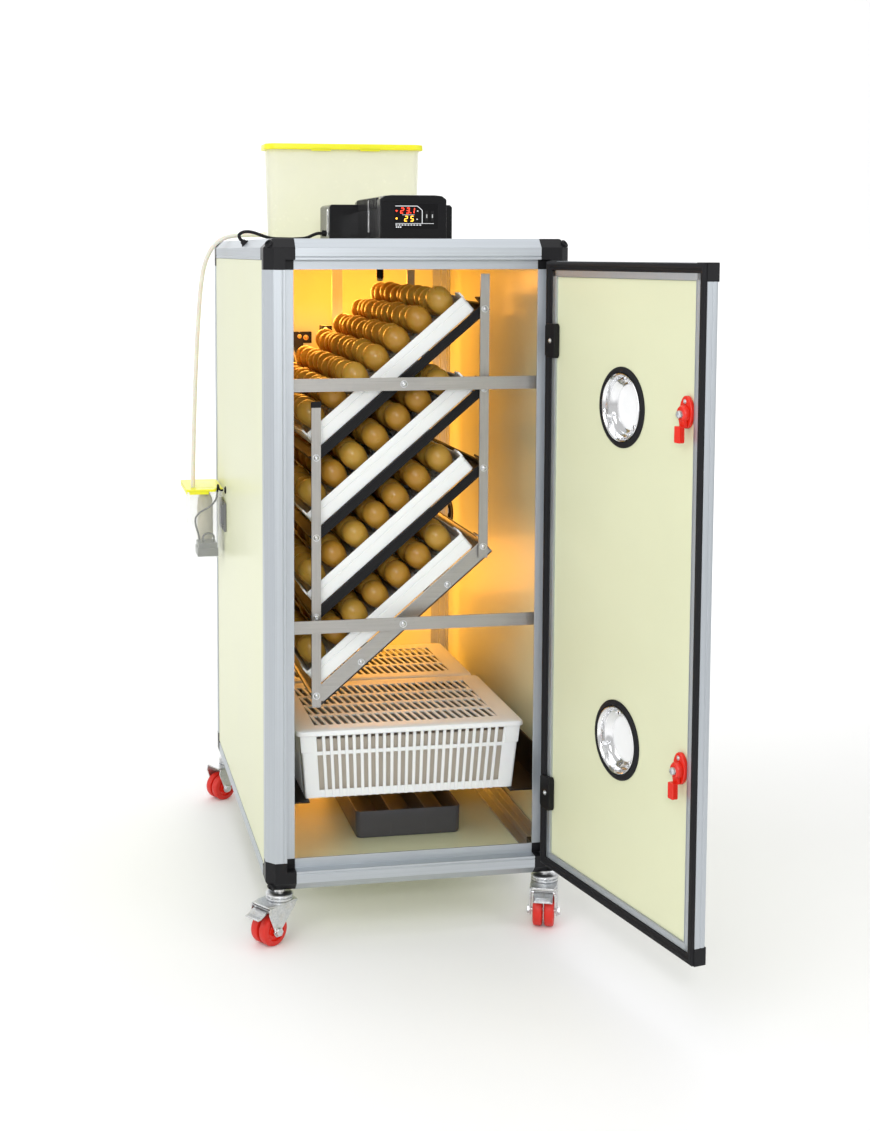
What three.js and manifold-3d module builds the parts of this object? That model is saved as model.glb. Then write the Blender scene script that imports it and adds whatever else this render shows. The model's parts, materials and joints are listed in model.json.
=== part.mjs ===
// Egg incubator: an aluminium-framed cabinet on castors, with four tilting egg trays, two hatching
// crates, a water tray, a fan with its heater, a hinged door with two windows, and on the outside a
// controller, a header tank and a float vessel that feeds water in.
//
// Millimetres. +X to the right, +Y into the cabinet from its front, +Z up. The origin is on the floor,
// in the middle of the ground that the incubator covers with its door open. The model stands as used:
// door open, egg trays tilted.
import * as THREE from 'three';
import { mergeVertices } from 'three/addons/utils/BufferGeometryUtils.js';
import Module from 'manifold-3d';

const wasm = await Module();
wasm.setup();

// ---------------------------------------------------------------- driving dimensions
const WIDTH = 520;
const DEPTH = 800;
const HEIGHT = 1100;          // frame only, without castors
const CASTOR_HEIGHT = 90;
const CENTRE = [1.2, 168.3];  // of the ground covered, from the middle of the cabinet's front
const GAP = 0.3;              // air between touching pieces

// frame extrusion: a square tube with a chamfered corner, and a rebate with a flange on two sides
const TUBE = 35;
const CHAMFER = 15;
const REBATE = 20;
const FLANGE_REACH = 16;
const FLANGE_THICK = 3;
const BLOCK = TUBE + FLANGE_REACH;
const VERTEX_CUT = 27;

const PANEL_THICK = 18;
const PANEL_RECESS = 1.5;
const INSIDE_X = WIDTH / 2 - PANEL_RECESS - PANEL_THICK;

const HINGE_X = 235;
const HINGE_Y = -16;
const DOOR_OPEN = THREE.MathUtils.degToRad(102.4);
const DOOR_WIDTH = 446;
const DOOR_BOTTOM = 37;
const DOOR_TOP = HEIGHT - 37;
const DOOR_FRONT = -8;
const DOOR_BACK = 12;
const DOOR_EDGE = 26;         // width of the aluminium edging
const DOOR_GROOVE = 9;        // how far the panel sits in the edging
const GASKET_WIDTH = 14;
const GASKET_DEPTH = 6;
const HINGE_HEIGHTS = [166, 932];
const HINGE_HALF = 30;
const WINDOW_HEIGHTS = { lower: 314, upper: 839 };
const WINDOW_X = -2.5;
const WINDOW_BORE = 58.5;
const LATCH_HEIGHTS = { lower: 320, upper: 846 };
const LATCH_X = -180;

const TILT = THREE.MathUtils.degToRad(40.5);
const TRAY_COUNT = 4;
const TRAY_PITCH = 137;
const TILT_X = -18.5;
const TOP_PIVOT_Z = 856;
const PIVOT_REACH = 192.5;    // from a tray's middle to the link bars
const TRAY_FRONT = 70;
const TRAY_LENGTH = 555;
const TRAY_HALF = 180;
const TRAY_WALL = 3;
const TRAY_RISE = 32;
const LINK_WIDTH = 16;
const LINK_THICK = 3;
const LINK_FRONT = 59.5;
const LINK_REAR = 632.5;
const PIN_RADIUS = 3;
const CROSSBAR_Y = 36.3;
const CROSSBAR_HALF = 11;
const SUPPORT_Y = 672;

const SHELF_LIP = 178;
const CRATE_BOTTOM = 138;
const CRATE_WALL = 3;
const CRATE_DRAFT = 10;
const CRATE_RIM = 255;
const LID_TOP = 260;
const LID_HALF = 202;
const LID_OVERHANG = { x: 8, y: 4, skirt: 3 };
// Each crate with its lid: the middle across the cabinet, and the lid's front and back edges.
const CRATES = {
  front: { x: 1, y0: 53, y1: 371 },
  rear: { x: -7, y0: 374, y1: 635 },
};

const TANK = { x0: -169, x1: 143, y0: 612, y1: 688, top: 1290, wall: 3 };
const VESSEL = { x0: -331, x1: -263, y0: 624, y1: 762, z0: 456, z1: 594, wall: 2.5 };

const HOSE_RADIUS = 4.25;
const PUMP_CABLE_RADIUS = 2;
const SUPPLY_CABLE_RADIUS = 3;

// ---------------------------------------------------------------- materials
const finish = (color, roughness, metalness = 0, more = {}) =>
  new THREE.MeshStandardMaterial({ color, roughness, metalness, ...more });
const ALUMINIUM = finish(0xb9bfc2, 0.38, 0.9);
const PANEL = finish(0xdcdcc0, 0.5);
const BLACK = finish(0x17181a, 0.45);
const RUBBER = finish(0x101012, 0.75);
const STAINLESS = finish(0xa9a7a2, 0.32, 1);
const ZINC = finish(0xb8bcbc, 0.35, 0.9);
const WHITE = finish(0xe9ebe8, 0.45);
const RED = finish(0xc81f12, 0.35);
const GREY = finish(0x4a4b50, 0.5);
const CLEAR = finish(0xdfe3dc, 0.15, 0, { transparent: true, opacity: 0.5 });
const YELLOW = finish(0xf0e23a, 0.4);
const HOSE = finish(0xd8d2bf, 0.5);

// ---------------------------------------------------------------- solids
function slab(x0, x1, y0, y1, z0, z1) {
  const box = new THREE.BoxGeometry(x1 - x0, y1 - y0, z1 - z0);
  return box.translate((x0 + x1) / 2, (y0 + y1) / 2, (z0 + z1) / 2);
}

// A rod between two points.
function rod(from, to, radius, sides = 12) {
  const a = new THREE.Vector3(...from);
  const along = new THREE.Vector3(...to).sub(a);
  const cylinder = new THREE.CylinderGeometry(radius, radius, along.length(), sides);
  const turn = new THREE.Quaternion().setFromUnitVectors(new THREE.Vector3(0, 1, 0), along.clone().normalize());
  return cylinder.applyQuaternion(turn).translate(...a.addScaledVector(along, 0.5).toArray());
}

// A closed outline, extruded along +Z.
function prism(points, length) {
  const shape = new THREE.Shape(points.map((p) => new THREE.Vector2(...p)));
  return new THREE.ExtrudeGeometry(shape, { depth: length, bevelEnabled: false });
}

// A turned piece about the Y axis through (x, z); the profile is [radius, y] points.
function turned(profile, x, z, segments = 24) {
  const lathe = new THREE.LatheGeometry(profile.map((p) => new THREE.Vector2(...p)), segments);
  return lathe.translate(x, 0, z);
}

// Lays a geometry built on (u, v, s) along three directions; a mirrored layout gets its faces turned.
function lay(geometry, origin, u, v, s) {
  const basis = new THREE.Matrix4().makeBasis(
    new THREE.Vector3(...u), new THREE.Vector3(...v), new THREE.Vector3(...s));
  basis.setPosition(...origin);
  const laid = mergedPositions(geometry).applyMatrix4(basis);
  if (basis.determinant() < 0) {
    const index = laid.index.array;
    for (let i = 0; i < index.length; i += 3) [index[i], index[i + 1]] = [index[i + 1], index[i]];
  }
  return laid;
}

function mergedPositions(geometry) {
  const bare = geometry.clone();
  bare.deleteAttribute('normal');
  bare.deleteAttribute('uv');
  return mergeVertices(bare, 1e-4);
}

function toManifold(geometry) {
  const bare = mergedPositions(geometry);
  return new wasm.Manifold(new wasm.Mesh({
    numProp: 3,
    vertProperties: new Float32Array(bare.attributes.position.array),
    triVerts: new Uint32Array(bare.index.array),
  }));
}

function toGeometry(solid) {
  const mesh = solid.getMesh();
  const geometry = new THREE.BufferGeometry();
  geometry.setAttribute('position', new THREE.BufferAttribute(mesh.vertProperties, 3));
  geometry.setIndex(new THREE.BufferAttribute(mesh.triVerts, 1));
  return geometry;
}

// The first list is joined, then the second is cut away.
function carve(joined, cut = []) {
  let solid = toManifold(joined[0]);
  for (const piece of joined.slice(1)) solid = solid.add(toManifold(piece));
  for (const piece of cut) solid = solid.subtract(toManifold(piece));
  return toGeometry(solid);
}

// An open-topped box with walls on four sides and below.
function tub(x0, x1, y0, y1, z0, z1, wall) {
  return carve([slab(x0, x1, y0, y1, z0, z1)], [slab(x0 + wall, x1 - wall, y0 + wall, y1 - wall, z0 + wall, z1 + 1)]);
}

// A block that is smaller at its lower end, by the draft on all four sides.
function draftedBlock(x0, x1, y0, y1, z0, z1, draft) {
  const block = slab(x0, x1, y0, y1, z0, z1);
  const at = block.attributes.position;
  for (let i = 0; i < at.count; i++) {
    if (at.getZ(i) > (z0 + z1) / 2) continue;
    at.setX(i, at.getX(i) + draft * Math.sign((x0 + x1) / 2 - at.getX(i)));
    at.setY(i, at.getY(i) + draft * Math.sign((y0 + y1) / 2 - at.getY(i)));
  }
  return block;
}

// A lid: a plate with a skirt round the outside of what it covers.
function lid(x0, x1, y0, y1, z0, z1, skirt, plate) {
  return carve([slab(x0, x1, y0, y1, z0, z1)],
    [slab(x0 + skirt, x1 - skirt, y0 + skirt, y1 - skirt, z0 - 1, z1 - plate)]);
}

// A tube along a smooth curve through the points.
function tube(points, radius, sides, steps) {
  const curve = new THREE.CatmullRomCurve3(points.map((p) => new THREE.Vector3(...p)), false, 'centripetal');
  const ring = Array.from({ length: sides }, (_, i) => {
    const a = (2 * Math.PI * i) / sides;
    return new THREE.Vector2(radius * Math.cos(a), radius * Math.sin(a));
  });
  return new THREE.ExtrudeGeometry(new THREE.Shape(ring), { steps, extrudePath: curve, bevelEnabled: false });
}

function piece(name, geometry, material, parent) {
  const mesh = new THREE.Mesh(geometry, material);
  mesh.name = name;
  parent.add(mesh);
  return mesh;
}

// ---------------------------------------------------------------- groups
const incubator = new THREE.Group();
const cabinet = new THREE.Group();       // x from the middle, y from the front, z from the frame's underside
cabinet.position.set(-CENTRE[0], -CENTRE[1], CASTOR_HEIGHT);
incubator.add(cabinet);

// ---------------------------------------------------------------- frame
const reach = TUBE + FLANGE_REACH;
const section = [
  [CHAMFER, 0], [TUBE, 0], [TUBE, REBATE], [reach, REBATE], [reach, REBATE + FLANGE_THICK],
  [TUBE, REBATE + FLANGE_THICK], [TUBE, TUBE], [REBATE + FLANGE_THICK, TUBE],
  [REBATE + FLANGE_THICK, reach], [REBATE, reach], [REBATE, TUBE], [0, TUBE], [0, CHAMFER],
];
const extrusion = (length) => prism(section, length);

// A corner of the frame: where it is, and the directions that lead inwards from it.
function corner(side, back, top) {
  return {
    at: [(side * WIDTH) / 2, back ? DEPTH : 0, top ? HEIGHT : 0],
    x: [-side, 0, 0],
    y: [0, back ? -1 : 1, 0],
    z: [0, 0, top ? -1 : 1],
  };
}
const from = (at, direction, distance) => at.map((value, i) => value + direction[i] * distance);

function post(side, back) {
  const c = corner(side, back, false);
  return lay(extrusion(HEIGHT - 2 * BLOCK), from(c.at, c.z, BLOCK), c.x, c.y, c.z);
}
function crossRail(back, top) {
  const c = corner(-1, back, top);
  return lay(extrusion(WIDTH - 2 * BLOCK), from(c.at, c.x, BLOCK), c.y, c.z, c.x);
}
function sideRail(side, top) {
  const c = corner(side, false, top);
  return lay(extrusion(DEPTH - 2 * BLOCK - GAP), from(c.at, c.y, BLOCK + GAP), c.x, c.z, c.y);
}

// A three-way corner block: a cube with the same chamfers and rebates as the extrusions that meet it.
function cornerBlock(side, back, top) {
  const past = BLOCK + 1;
  const wedge = prism([[-1, -1], [CHAMFER + 1, -1], [-1, CHAMFER + 1]], past + 1).translate(0, 0, -1);
  const X = [1, 0, 0];
  const Y = [0, 1, 0];
  const Z = [0, 0, 1];
  const tip = new THREE.BufferGeometry();
  const t = VERTEX_CUT;
  tip.setAttribute('position', new THREE.Float32BufferAttribute([-1, -1, -1, t + 2, -1, -1, -1, t + 2, -1, -1, -1, t + 2], 3));
  tip.setIndex([0, 2, 1, 0, 1, 3, 0, 3, 2, 1, 2, 3]);
  const block = carve([slab(0, BLOCK, 0, BLOCK, 0, BLOCK)], [
    slab(TUBE, past, -1, REBATE, TUBE, past),
    slab(-1, REBATE, TUBE, past, TUBE, past),
    slab(TUBE, past, TUBE, past, -1, REBATE),
    lay(wedge, [0, 0, 0], X, Y, Z),
    lay(wedge, [0, 0, 0], Y, Z, X),
    lay(wedge, [0, 0, 0], Z, X, Y),
    tip,
  ]);
  const c = corner(side, back, top);
  return lay(block, c.at, c.x, c.y, c.z);
}
const blocks = (back) => [-1, 1].flatMap((side) => [false, true].map((top) => cornerBlock(side, back, top)));

piece('front_frame',
  carve([...blocks(false), post(-1, false), post(1, false), crossRail(false, false), crossRail(false, true)]),
  ALUMINIUM, cabinet);

// The gland on the left top rail's chamfer takes the supply cable in.
const GLAND = { y: 315, x: -WIDTH / 2 + CHAMFER / 2, z: HEIGHT - CHAMFER / 2, length: 8 };
const glandTip = (length) => [GLAND.x - length * Math.SQRT1_2, GLAND.y, GLAND.z + length * Math.SQRT1_2];
piece('rear_frame', carve([
  ...blocks(true), post(-1, true), post(1, true), crossRail(true, false), crossRail(true, true),
  sideRail(-1, false), sideRail(-1, true), sideRail(1, false), sideRail(1, true),
  rod(glandTip(-3), glandTip(GLAND.length), 5.5),
]), ALUMINIUM, cabinet);

// ---------------------------------------------------------------- panels
const SEAT = TUBE + 0.5;
const skinOut = PANEL_RECESS;
const skinIn = PANEL_RECESS + PANEL_THICK;
const VENT = { y: 735, z: 521, radius: 17 };
const PUMP_GLAND = { y: 608, z: 599, radius: 5, length: 5 };
const sideX = WIDTH / 2 - skinOut;

piece('panel_left', carve([
  slab(-sideX, -INSIDE_X, SEAT, DEPTH - SEAT, SEAT, HEIGHT - SEAT),
  rod([-sideX + 2, PUMP_GLAND.y, PUMP_GLAND.z], [-sideX - PUMP_GLAND.length, PUMP_GLAND.y, PUMP_GLAND.z], PUMP_GLAND.radius),
]), PANEL, cabinet);
piece('panel_right', carve([slab(INSIDE_X, sideX, SEAT, DEPTH - SEAT, SEAT, HEIGHT - SEAT)],
  [rod([INSIDE_X - 1, VENT.y, VENT.z], [sideX + 1, VENT.y, VENT.z], VENT.radius, 20)]), PANEL, cabinet);
piece('panel_rear', slab(-WIDTH / 2 + SEAT, WIDTH / 2 - SEAT, DEPTH - skinIn, DEPTH - skinOut, SEAT, HEIGHT - SEAT),
  PANEL, cabinet);
const CEILING = HEIGHT - skinIn;
const PROBE = { x: 15, y: 400, drop: 57 };
piece('panel_top', carve([
  slab(-WIDTH / 2 + SEAT, WIDTH / 2 - SEAT, SEAT, DEPTH - SEAT, CEILING, HEIGHT - skinOut),
  rod([PROBE.x, PROBE.y, CEILING + 2], [PROBE.x, PROBE.y, CEILING - PROBE.drop], 6.5),
]), PANEL, cabinet);
piece('panel_floor', slab(-WIDTH / 2 + SEAT, WIDTH / 2 - SEAT, SEAT, DEPTH - SEAT, skinOut, skinIn), PANEL, cabinet);

// ---------------------------------------------------------------- tray supports
const pivotZ = (tray) => TOP_PIVOT_Z - tray * TRAY_PITCH;

// A crossbar runs from wall to wall with bent ends, and carries a tray's front pivot.
function crossbar(z) {
  const end = INSIDE_X - 4;
  const y1 = CROSSBAR_Y + 2.5;
  const band = [z - CROSSBAR_HALF, z + CROSSBAR_HALF];
  return carve([
    slab(-end, end, CROSSBAR_Y, y1, ...band),
    slab(-end, -end + 2.5, CROSSBAR_Y, y1 + 12, ...band),
    slab(end - 2.5, end, CROSSBAR_Y, y1 + 12, ...band),
  ], [rod([TILT_X, CROSSBAR_Y - 1, z], [TILT_X, y1 + 1, z], PIN_RADIUS + 1)]);
}
piece('crossbar_upper', crossbar(pivotZ(0)), STAINLESS, cabinet);
piece('crossbar_lower', crossbar(pivotZ(TRAY_COUNT - 1)), STAINLESS, cabinet);

// The rear support hangs from the ceiling, is stayed to the rear panel, and carries the turning motor.
const supportY1 = SUPPORT_Y + 3;
const rearPin = (tray) => rod([TILT_X, SUPPORT_Y - 1, pivotZ(tray)], [TILT_X, supportY1 + 4, pivotZ(tray)], 6);
piece('rear_support', carve([
  slab(TILT_X - 11, TILT_X + 11, SUPPORT_Y, supportY1, 423, CEILING - GAP),
  slab(TILT_X - 11, TILT_X + 11, SUPPORT_Y - 14, SUPPORT_Y + 1, CEILING - 3, CEILING - GAP),
  slab(TILT_X - 11, TILT_X + 11, SUPPORT_Y, DEPTH - skinIn - GAP, 420, 424),
  slab(TILT_X - 30, TILT_X + 28, SUPPORT_Y + 2, SUPPORT_Y + 62, pivotZ(0) - 28, pivotZ(0) + 70),
  rod([TILT_X, SUPPORT_Y + 60, pivotZ(0)], [TILT_X, SUPPORT_Y + 92, pivotZ(0)], 18, 20),
], [rearPin(0), rearPin(TRAY_COUNT - 1)]), STAINLESS, cabinet);

// ---------------------------------------------------------------- egg trays on their linkage
// A tray unit is built level about its pivot: x along the tray, y from the cabinet's front, z up.
const CARRIER_BACK = TRAY_FRONT + TRAY_LENGTH + 4;
const CARRIER_FRONT = TRAY_FRONT - 4;
const CARRIER_END = 200;

function carrier(last, centrePins) {
  const low = last ? -20 : -8;
  const high = 8;
  const depth = [CARRIER_FRONT, CARRIER_BACK];
  const ring = carve([slab(-CARRIER_END, CARRIER_END, ...depth, low, high)],
    [slab(-CARRIER_END + 18, CARRIER_END - 18, depth[0] + 4, depth[1] - 4, low - 1, high + 1)]);
  const tab = slab(CARRIER_END - 3, CARRIER_END, CARRIER_FRONT, CARRIER_FRONT + 30, high - 1, high + 13);
  const pins = [-PIVOT_REACH, PIVOT_REACH].flatMap((x) => [
    rod([x, depth[0] + 1, 0], [x, LINK_FRONT - 1, 0], PIN_RADIUS),
    rod([x, depth[1] - 1, 0], [x, LINK_REAR + LINK_THICK + 1, 0], PIN_RADIUS),
  ]);
  const centre = centrePins ? [
    rod([0, depth[0] + 1, 0], [0, CROSSBAR_Y + GAP, 0], PIN_RADIUS),
    rod([0, depth[1] - 1, 0], [0, supportY1 - GAP, 0], PIN_RADIUS + 1),
  ] : [];
  return carve([ring, tab, ...pins, ...centre]);
}

function eggTray() {
  const floor = 8 + GAP;
  const shell = tub(-TRAY_HALF, TRAY_HALF, TRAY_FRONT, TRAY_FRONT + TRAY_LENGTH, floor, floor + TRAY_RISE, TRAY_WALL);
  return carve([shell, ...[-1, 1].map((side) => slab(
    side * (TRAY_HALF - 1.5) - 1.5, side * (TRAY_HALF - 1.5) + 1.5,
    TRAY_FRONT, TRAY_FRONT + 40, floor + TRAY_RISE - 1, floor + TRAY_RISE + 8))]);
}

for (let i = 0; i < TRAY_COUNT; i++) {
  const unit = new THREE.Group();
  unit.position.set(TILT_X, 0, pivotZ(i));
  unit.rotation.y = -TILT;
  cabinet.add(unit);
  const last = i === TRAY_COUNT - 1;
  piece(`carrier_${i + 1}`, carrier(last, i === 0 || last), last ? STAINLESS : BLACK, unit);
  piece(`egg_tray_${i + 1}`, eggTray(), WHITE, unit);
}

// A link bar joins the four trays at one end; it stays upright while they tilt.
function link(y, above) {
  const reachDown = (TRAY_COUNT - 1) * TRAY_PITCH + 20;
  const holes = Array.from({ length: TRAY_COUNT }, (_, i) =>
    rod([0, y - 1, -i * TRAY_PITCH], [0, y + LINK_THICK + 1, -i * TRAY_PITCH], PIN_RADIUS + 0.9));
  return carve([slab(-LINK_WIDTH / 2, LINK_WIDTH / 2, y, y + LINK_THICK, -reachDown, above)], holes);
}
for (const [name, side, above] of [['left', -1, 95], ['right', 1, 60]]) {
  const bar = new THREE.Group();
  bar.position.set(TILT_X + side * PIVOT_REACH * Math.cos(TILT), 0, pivotZ(0) + side * PIVOT_REACH * Math.sin(TILT));
  cabinet.add(bar);
  piece(`link_${name}_front`, link(LINK_FRONT, above), STAINLESS, bar);
  piece(`link_${name}_rear`, link(LINK_REAR, above), STAINLESS, bar);
}

// ---------------------------------------------------------------- fan and heater
const FAN = { x: -142, z: 845, front: 745, radius: 54, hub: 16, half: 64 };
const rearWall = DEPTH - skinIn - GAP;
const strut = (angle) => {
  const c = Math.cos(angle);
  const s = Math.sin(angle);
  return rod([FAN.x + 8 * c, rearWall - 6, FAN.z + 8 * s], [FAN.x + 60 * c, rearWall - 6, FAN.z + 60 * s], 3, 8);
};
piece('fan_housing', carve([
  carve([slab(FAN.x - FAN.half, FAN.x + FAN.half, FAN.front, rearWall, FAN.z - FAN.half, FAN.z + FAN.half)],
    [rod([FAN.x, FAN.front - 1, FAN.z], [FAN.x, rearWall + 1, FAN.z], FAN.radius + 3, 24)]),
  rod([FAN.x, rearWall - 14, FAN.z], [FAN.x, rearWall, FAN.z], FAN.hub, 16),
  ...[0.25, 0.75, 1.25, 1.75].map((turn) => strut(turn * Math.PI)),
  slab(FAN.x + FAN.half - 2, FAN.x + FAN.half + 22, rearWall - 8, rearWall, FAN.z + 40, FAN.z + FAN.half),
  new THREE.TorusGeometry(46, 4, 8, 24).rotateX(Math.PI / 2).translate(FAN.x, FAN.front - 18, FAN.z),
  rod([FAN.x - 46, FAN.front - 18, FAN.z], [FAN.x - 59, FAN.front - 18, FAN.z], 3.4, 8),
  rod([FAN.x - 59, FAN.front - 18, FAN.z - 3], [FAN.x - 59, FAN.front + 4, FAN.z - 3], 4, 8),
]), BLACK, cabinet);

const blade = (i) => new THREE.BoxGeometry(FAN.radius - FAN.hub + 4, 3, 20)
  .rotateX(0.5).translate((FAN.radius + FAN.hub - 4) / 2, 0, 0).rotateY((i * 2 * Math.PI) / 5);
const fanHub = new THREE.CylinderGeometry(FAN.hub, FAN.hub, 15, 20);
piece('fan_blade', carve([fanHub, ...[0, 1, 2, 3, 4].map(blade)]), BLACK, cabinet)
  .position.set(FAN.x, FAN.front + 11, FAN.z);

// ---------------------------------------------------------------- crates and water tray
function shelfRail(side) {
  const out = side * (INSIDE_X - GAP);
  const web = out - side * 2.5;
  const lip = side * SHELF_LIP;
  const y = [BLOCK + 1, DEPTH - BLOCK - 1];
  const low = CRATE_BOTTOM - GAP - 2.5;
  return carve([
    slab(Math.min(out, web), Math.max(out, web), ...y, low, 200),
    slab(Math.min(out, lip), Math.max(out, lip), ...y, low, CRATE_BOTTOM - GAP),
  ]);
}
piece('shelf_rail_left', shelfRail(-1), BLACK, cabinet);
piece('shelf_rail_right', shelfRail(1), BLACK, cabinet);

for (const [name, { x, y0, y1 }] of Object.entries(CRATES)) {
  const half = LID_HALF - LID_OVERHANG.x;
  const walls = (depth, z0, z1) => draftedBlock(x - half + depth, x + half - depth,
    y0 + LID_OVERHANG.y + depth, y1 - LID_OVERHANG.y - depth, z0, z1, CRATE_DRAFT);
  piece(`crate_${name}`, carve([walls(0, CRATE_BOTTOM, CRATE_RIM)],
    [walls(CRATE_WALL, CRATE_BOTTOM + CRATE_WALL, CRATE_RIM + 1)]), WHITE, cabinet);
  piece(`crate_${name}_lid`, lid(x - LID_HALF, x + LID_HALF, y0, y1, CRATE_RIM - 4, LID_TOP,
    LID_OVERHANG.skirt, LID_TOP - CRATE_RIM - GAP), WHITE, cabinet);
}

const BASIN = { x0: -73.5, x1: 121.5, y0: 175, y1: 495, top: 70, wall: 3 };
const bay = (BASIN.x1 - BASIN.x0 - 4 * BASIN.wall) / 3;
piece('water_tray', carve([slab(BASIN.x0, BASIN.x1, BASIN.y0, BASIN.y1, skinIn + GAP, BASIN.top)],
  [0, 1, 2].map((i) => {
    const x = BASIN.x0 + BASIN.wall + i * (bay + BASIN.wall);
    return slab(x, x + bay, BASIN.y0 + BASIN.wall, BASIN.y1 - BASIN.wall, skinIn + 4, BASIN.top + 1);
  })), GREY, cabinet);

// ---------------------------------------------------------------- door
// Built shut, about the hinge line, then swung open.
const hinge = new THREE.Group();
hinge.position.set(HINGE_X, HINGE_Y, 0);
hinge.rotation.z = DOOR_OPEN;
cabinet.add(hinge);
const door = new THREE.Group();
door.position.set(-HINGE_X, -HINGE_Y, 0);
hinge.add(door);

const doorHalf = DOOR_WIDTH / 2;
const ringOf = (inset, width, y0, y1) => [
  slab(-doorHalf + inset, doorHalf - inset, y0, y1, DOOR_BOTTOM + inset, DOOR_TOP - inset),
  slab(-doorHalf + inset + width, doorHalf - inset - width, y0 - 1, y1 + 1,
    DOOR_BOTTOM + inset + width, DOOR_TOP - inset - width),
];
const grooveInset = DOOR_EDGE - DOOR_GROOVE;
const [gasketOuter, gasketInner] = ringOf(1, GASKET_WIDTH, DOOR_BACK, DOOR_BACK + GASKET_DEPTH);
const gasket = carve([gasketOuter], [gasketInner]);

// The door half of a hinge: a leaf on the outside of the door and a knuckle round the pin.
const KNUCKLE = 6;
const leafOut = DOOR_FRONT - 4;
const doorLeaves = HINGE_HEIGHTS.flatMap((z) => [
  slab(190, HINGE_X, leafOut, DOOR_FRONT, z - 10, z + 10),
  slab(190, 224, leafOut, DOOR_FRONT, z - HINGE_HALF, z + HINGE_HALF),
  rod([HINGE_X, HINGE_Y, z - 10], [HINGE_X, HINGE_Y, z + 10], KNUCKLE, 16),
]);
const pinHoles = HINGE_HEIGHTS.map((z) => rod([HINGE_X, HINGE_Y, z - 12], [HINGE_X, HINGE_Y, z + 12], 3.2));
piece('door_frame', carve([
  carve([ringOf(0, DOOR_EDGE, DOOR_FRONT, DOOR_BACK)[0]], [
    ringOf(0, DOOR_EDGE, DOOR_FRONT, DOOR_BACK)[1],
    slab(-doorHalf + grooveInset, doorHalf - grooveInset, DOOR_FRONT + 3, DOOR_BACK - 3,
      DOOR_BOTTOM + grooveInset, DOOR_TOP - grooveInset),
  ]),
  gasket, ...doorLeaves,
], pinHoles), ALUMINIUM, door);

const leafHalf = doorHalf - grooveInset - 1;
const through = (x, z, radius, sides) => rod([x, DOOR_FRONT - 1, z], [x, DOOR_BACK + 1, z], radius, sides);
piece('door_panel', carve([slab(-leafHalf, leafHalf, DOOR_FRONT + 3 + GAP, DOOR_BACK - 3 - GAP,
  DOOR_BOTTOM + grooveInset + 1, DOOR_TOP - grooveInset - 1)], [
  ...Object.values(WINDOW_HEIGHTS).map((z) => through(WINDOW_X, z, WINDOW_BORE + 0.8, 24)),
  ...Object.values(LATCH_HEIGHTS).map((z) => through(LATCH_X, z, 6.5, 12)),
]), PANEL, door);

// A round window: a flanged ring clamped on both sides of the panel, with its pane across the bore.
const skin = [DOOR_FRONT + 3, DOOR_BACK - 3];
const windowProfile = [
  [0, -2], [50, -2], [50, skin[0] - 4], [63, skin[0] - 4], [63, skin[0]], [WINDOW_BORE, skin[0]],
  [WINDOW_BORE, skin[1]], [63, skin[1]], [63, skin[1] + 4], [50, skin[1] + 4], [50, 3], [0, 3],
];
for (const [name, z] of Object.entries(WINDOW_HEIGHTS)) {
  piece(`window_${name}`, turned(windowProfile, WINDOW_X, z), RUBBER, door);
}

// A latch turns on a shaft through the door: a lever outside, a stepped hook inside.
function latch() {
  return carve([
    rod([0, DOOR_FRONT - 14, 0], [0, DOOR_BACK + 16, 0], 5.5),
    rod([0, DOOR_FRONT - 9, 0], [0, skin[0] - GAP, 0], 15, 16),
    rod([0, skin[1] + GAP, 0], [0, DOOR_BACK + 6, 0], 13, 16),
    slab(-7, 7, DOOR_FRONT - 22, DOOR_FRONT - 12, -48, 9),
    slab(-7, 7, DOOR_BACK + 13, DOOR_BACK + 18, -42, 8),
  ]);
}
for (const [name, z] of Object.entries(LATCH_HEIGHTS)) {
  piece(`latch_${name}`, latch(), RED, door).position.set(LATCH_X, 0, z);
}

// The frame half of a hinge: a leaf on the post, two knuckles and the pin.
function frameLeaf(z) {
  const knuckles = [[-HINGE_HALF, -10 - GAP], [10 + GAP, HINGE_HALF]].flatMap(([a, b]) => [
    rod([HINGE_X, HINGE_Y, z + a], [HINGE_X, HINGE_Y, z + b], KNUCKLE, 16),
    slab(HINGE_X - 4, HINGE_X + 4, HINGE_Y, -2, z + a, z + b),
  ]);
  return carve([
    slab(226, 244, -3 - GAP, -GAP, z - HINGE_HALF, z + HINGE_HALF), ...knuckles,
    rod([HINGE_X, HINGE_Y, z - HINGE_HALF + 1], [HINGE_X, HINGE_Y, z + HINGE_HALF - 1], 2.6, 12),
  ]);
}
piece('hinge_lower', frameLeaf(HINGE_HEIGHTS[0]), BLACK, cabinet);
piece('hinge_upper', frameLeaf(HINGE_HEIGHTS[1]), BLACK, cabinet);

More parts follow.
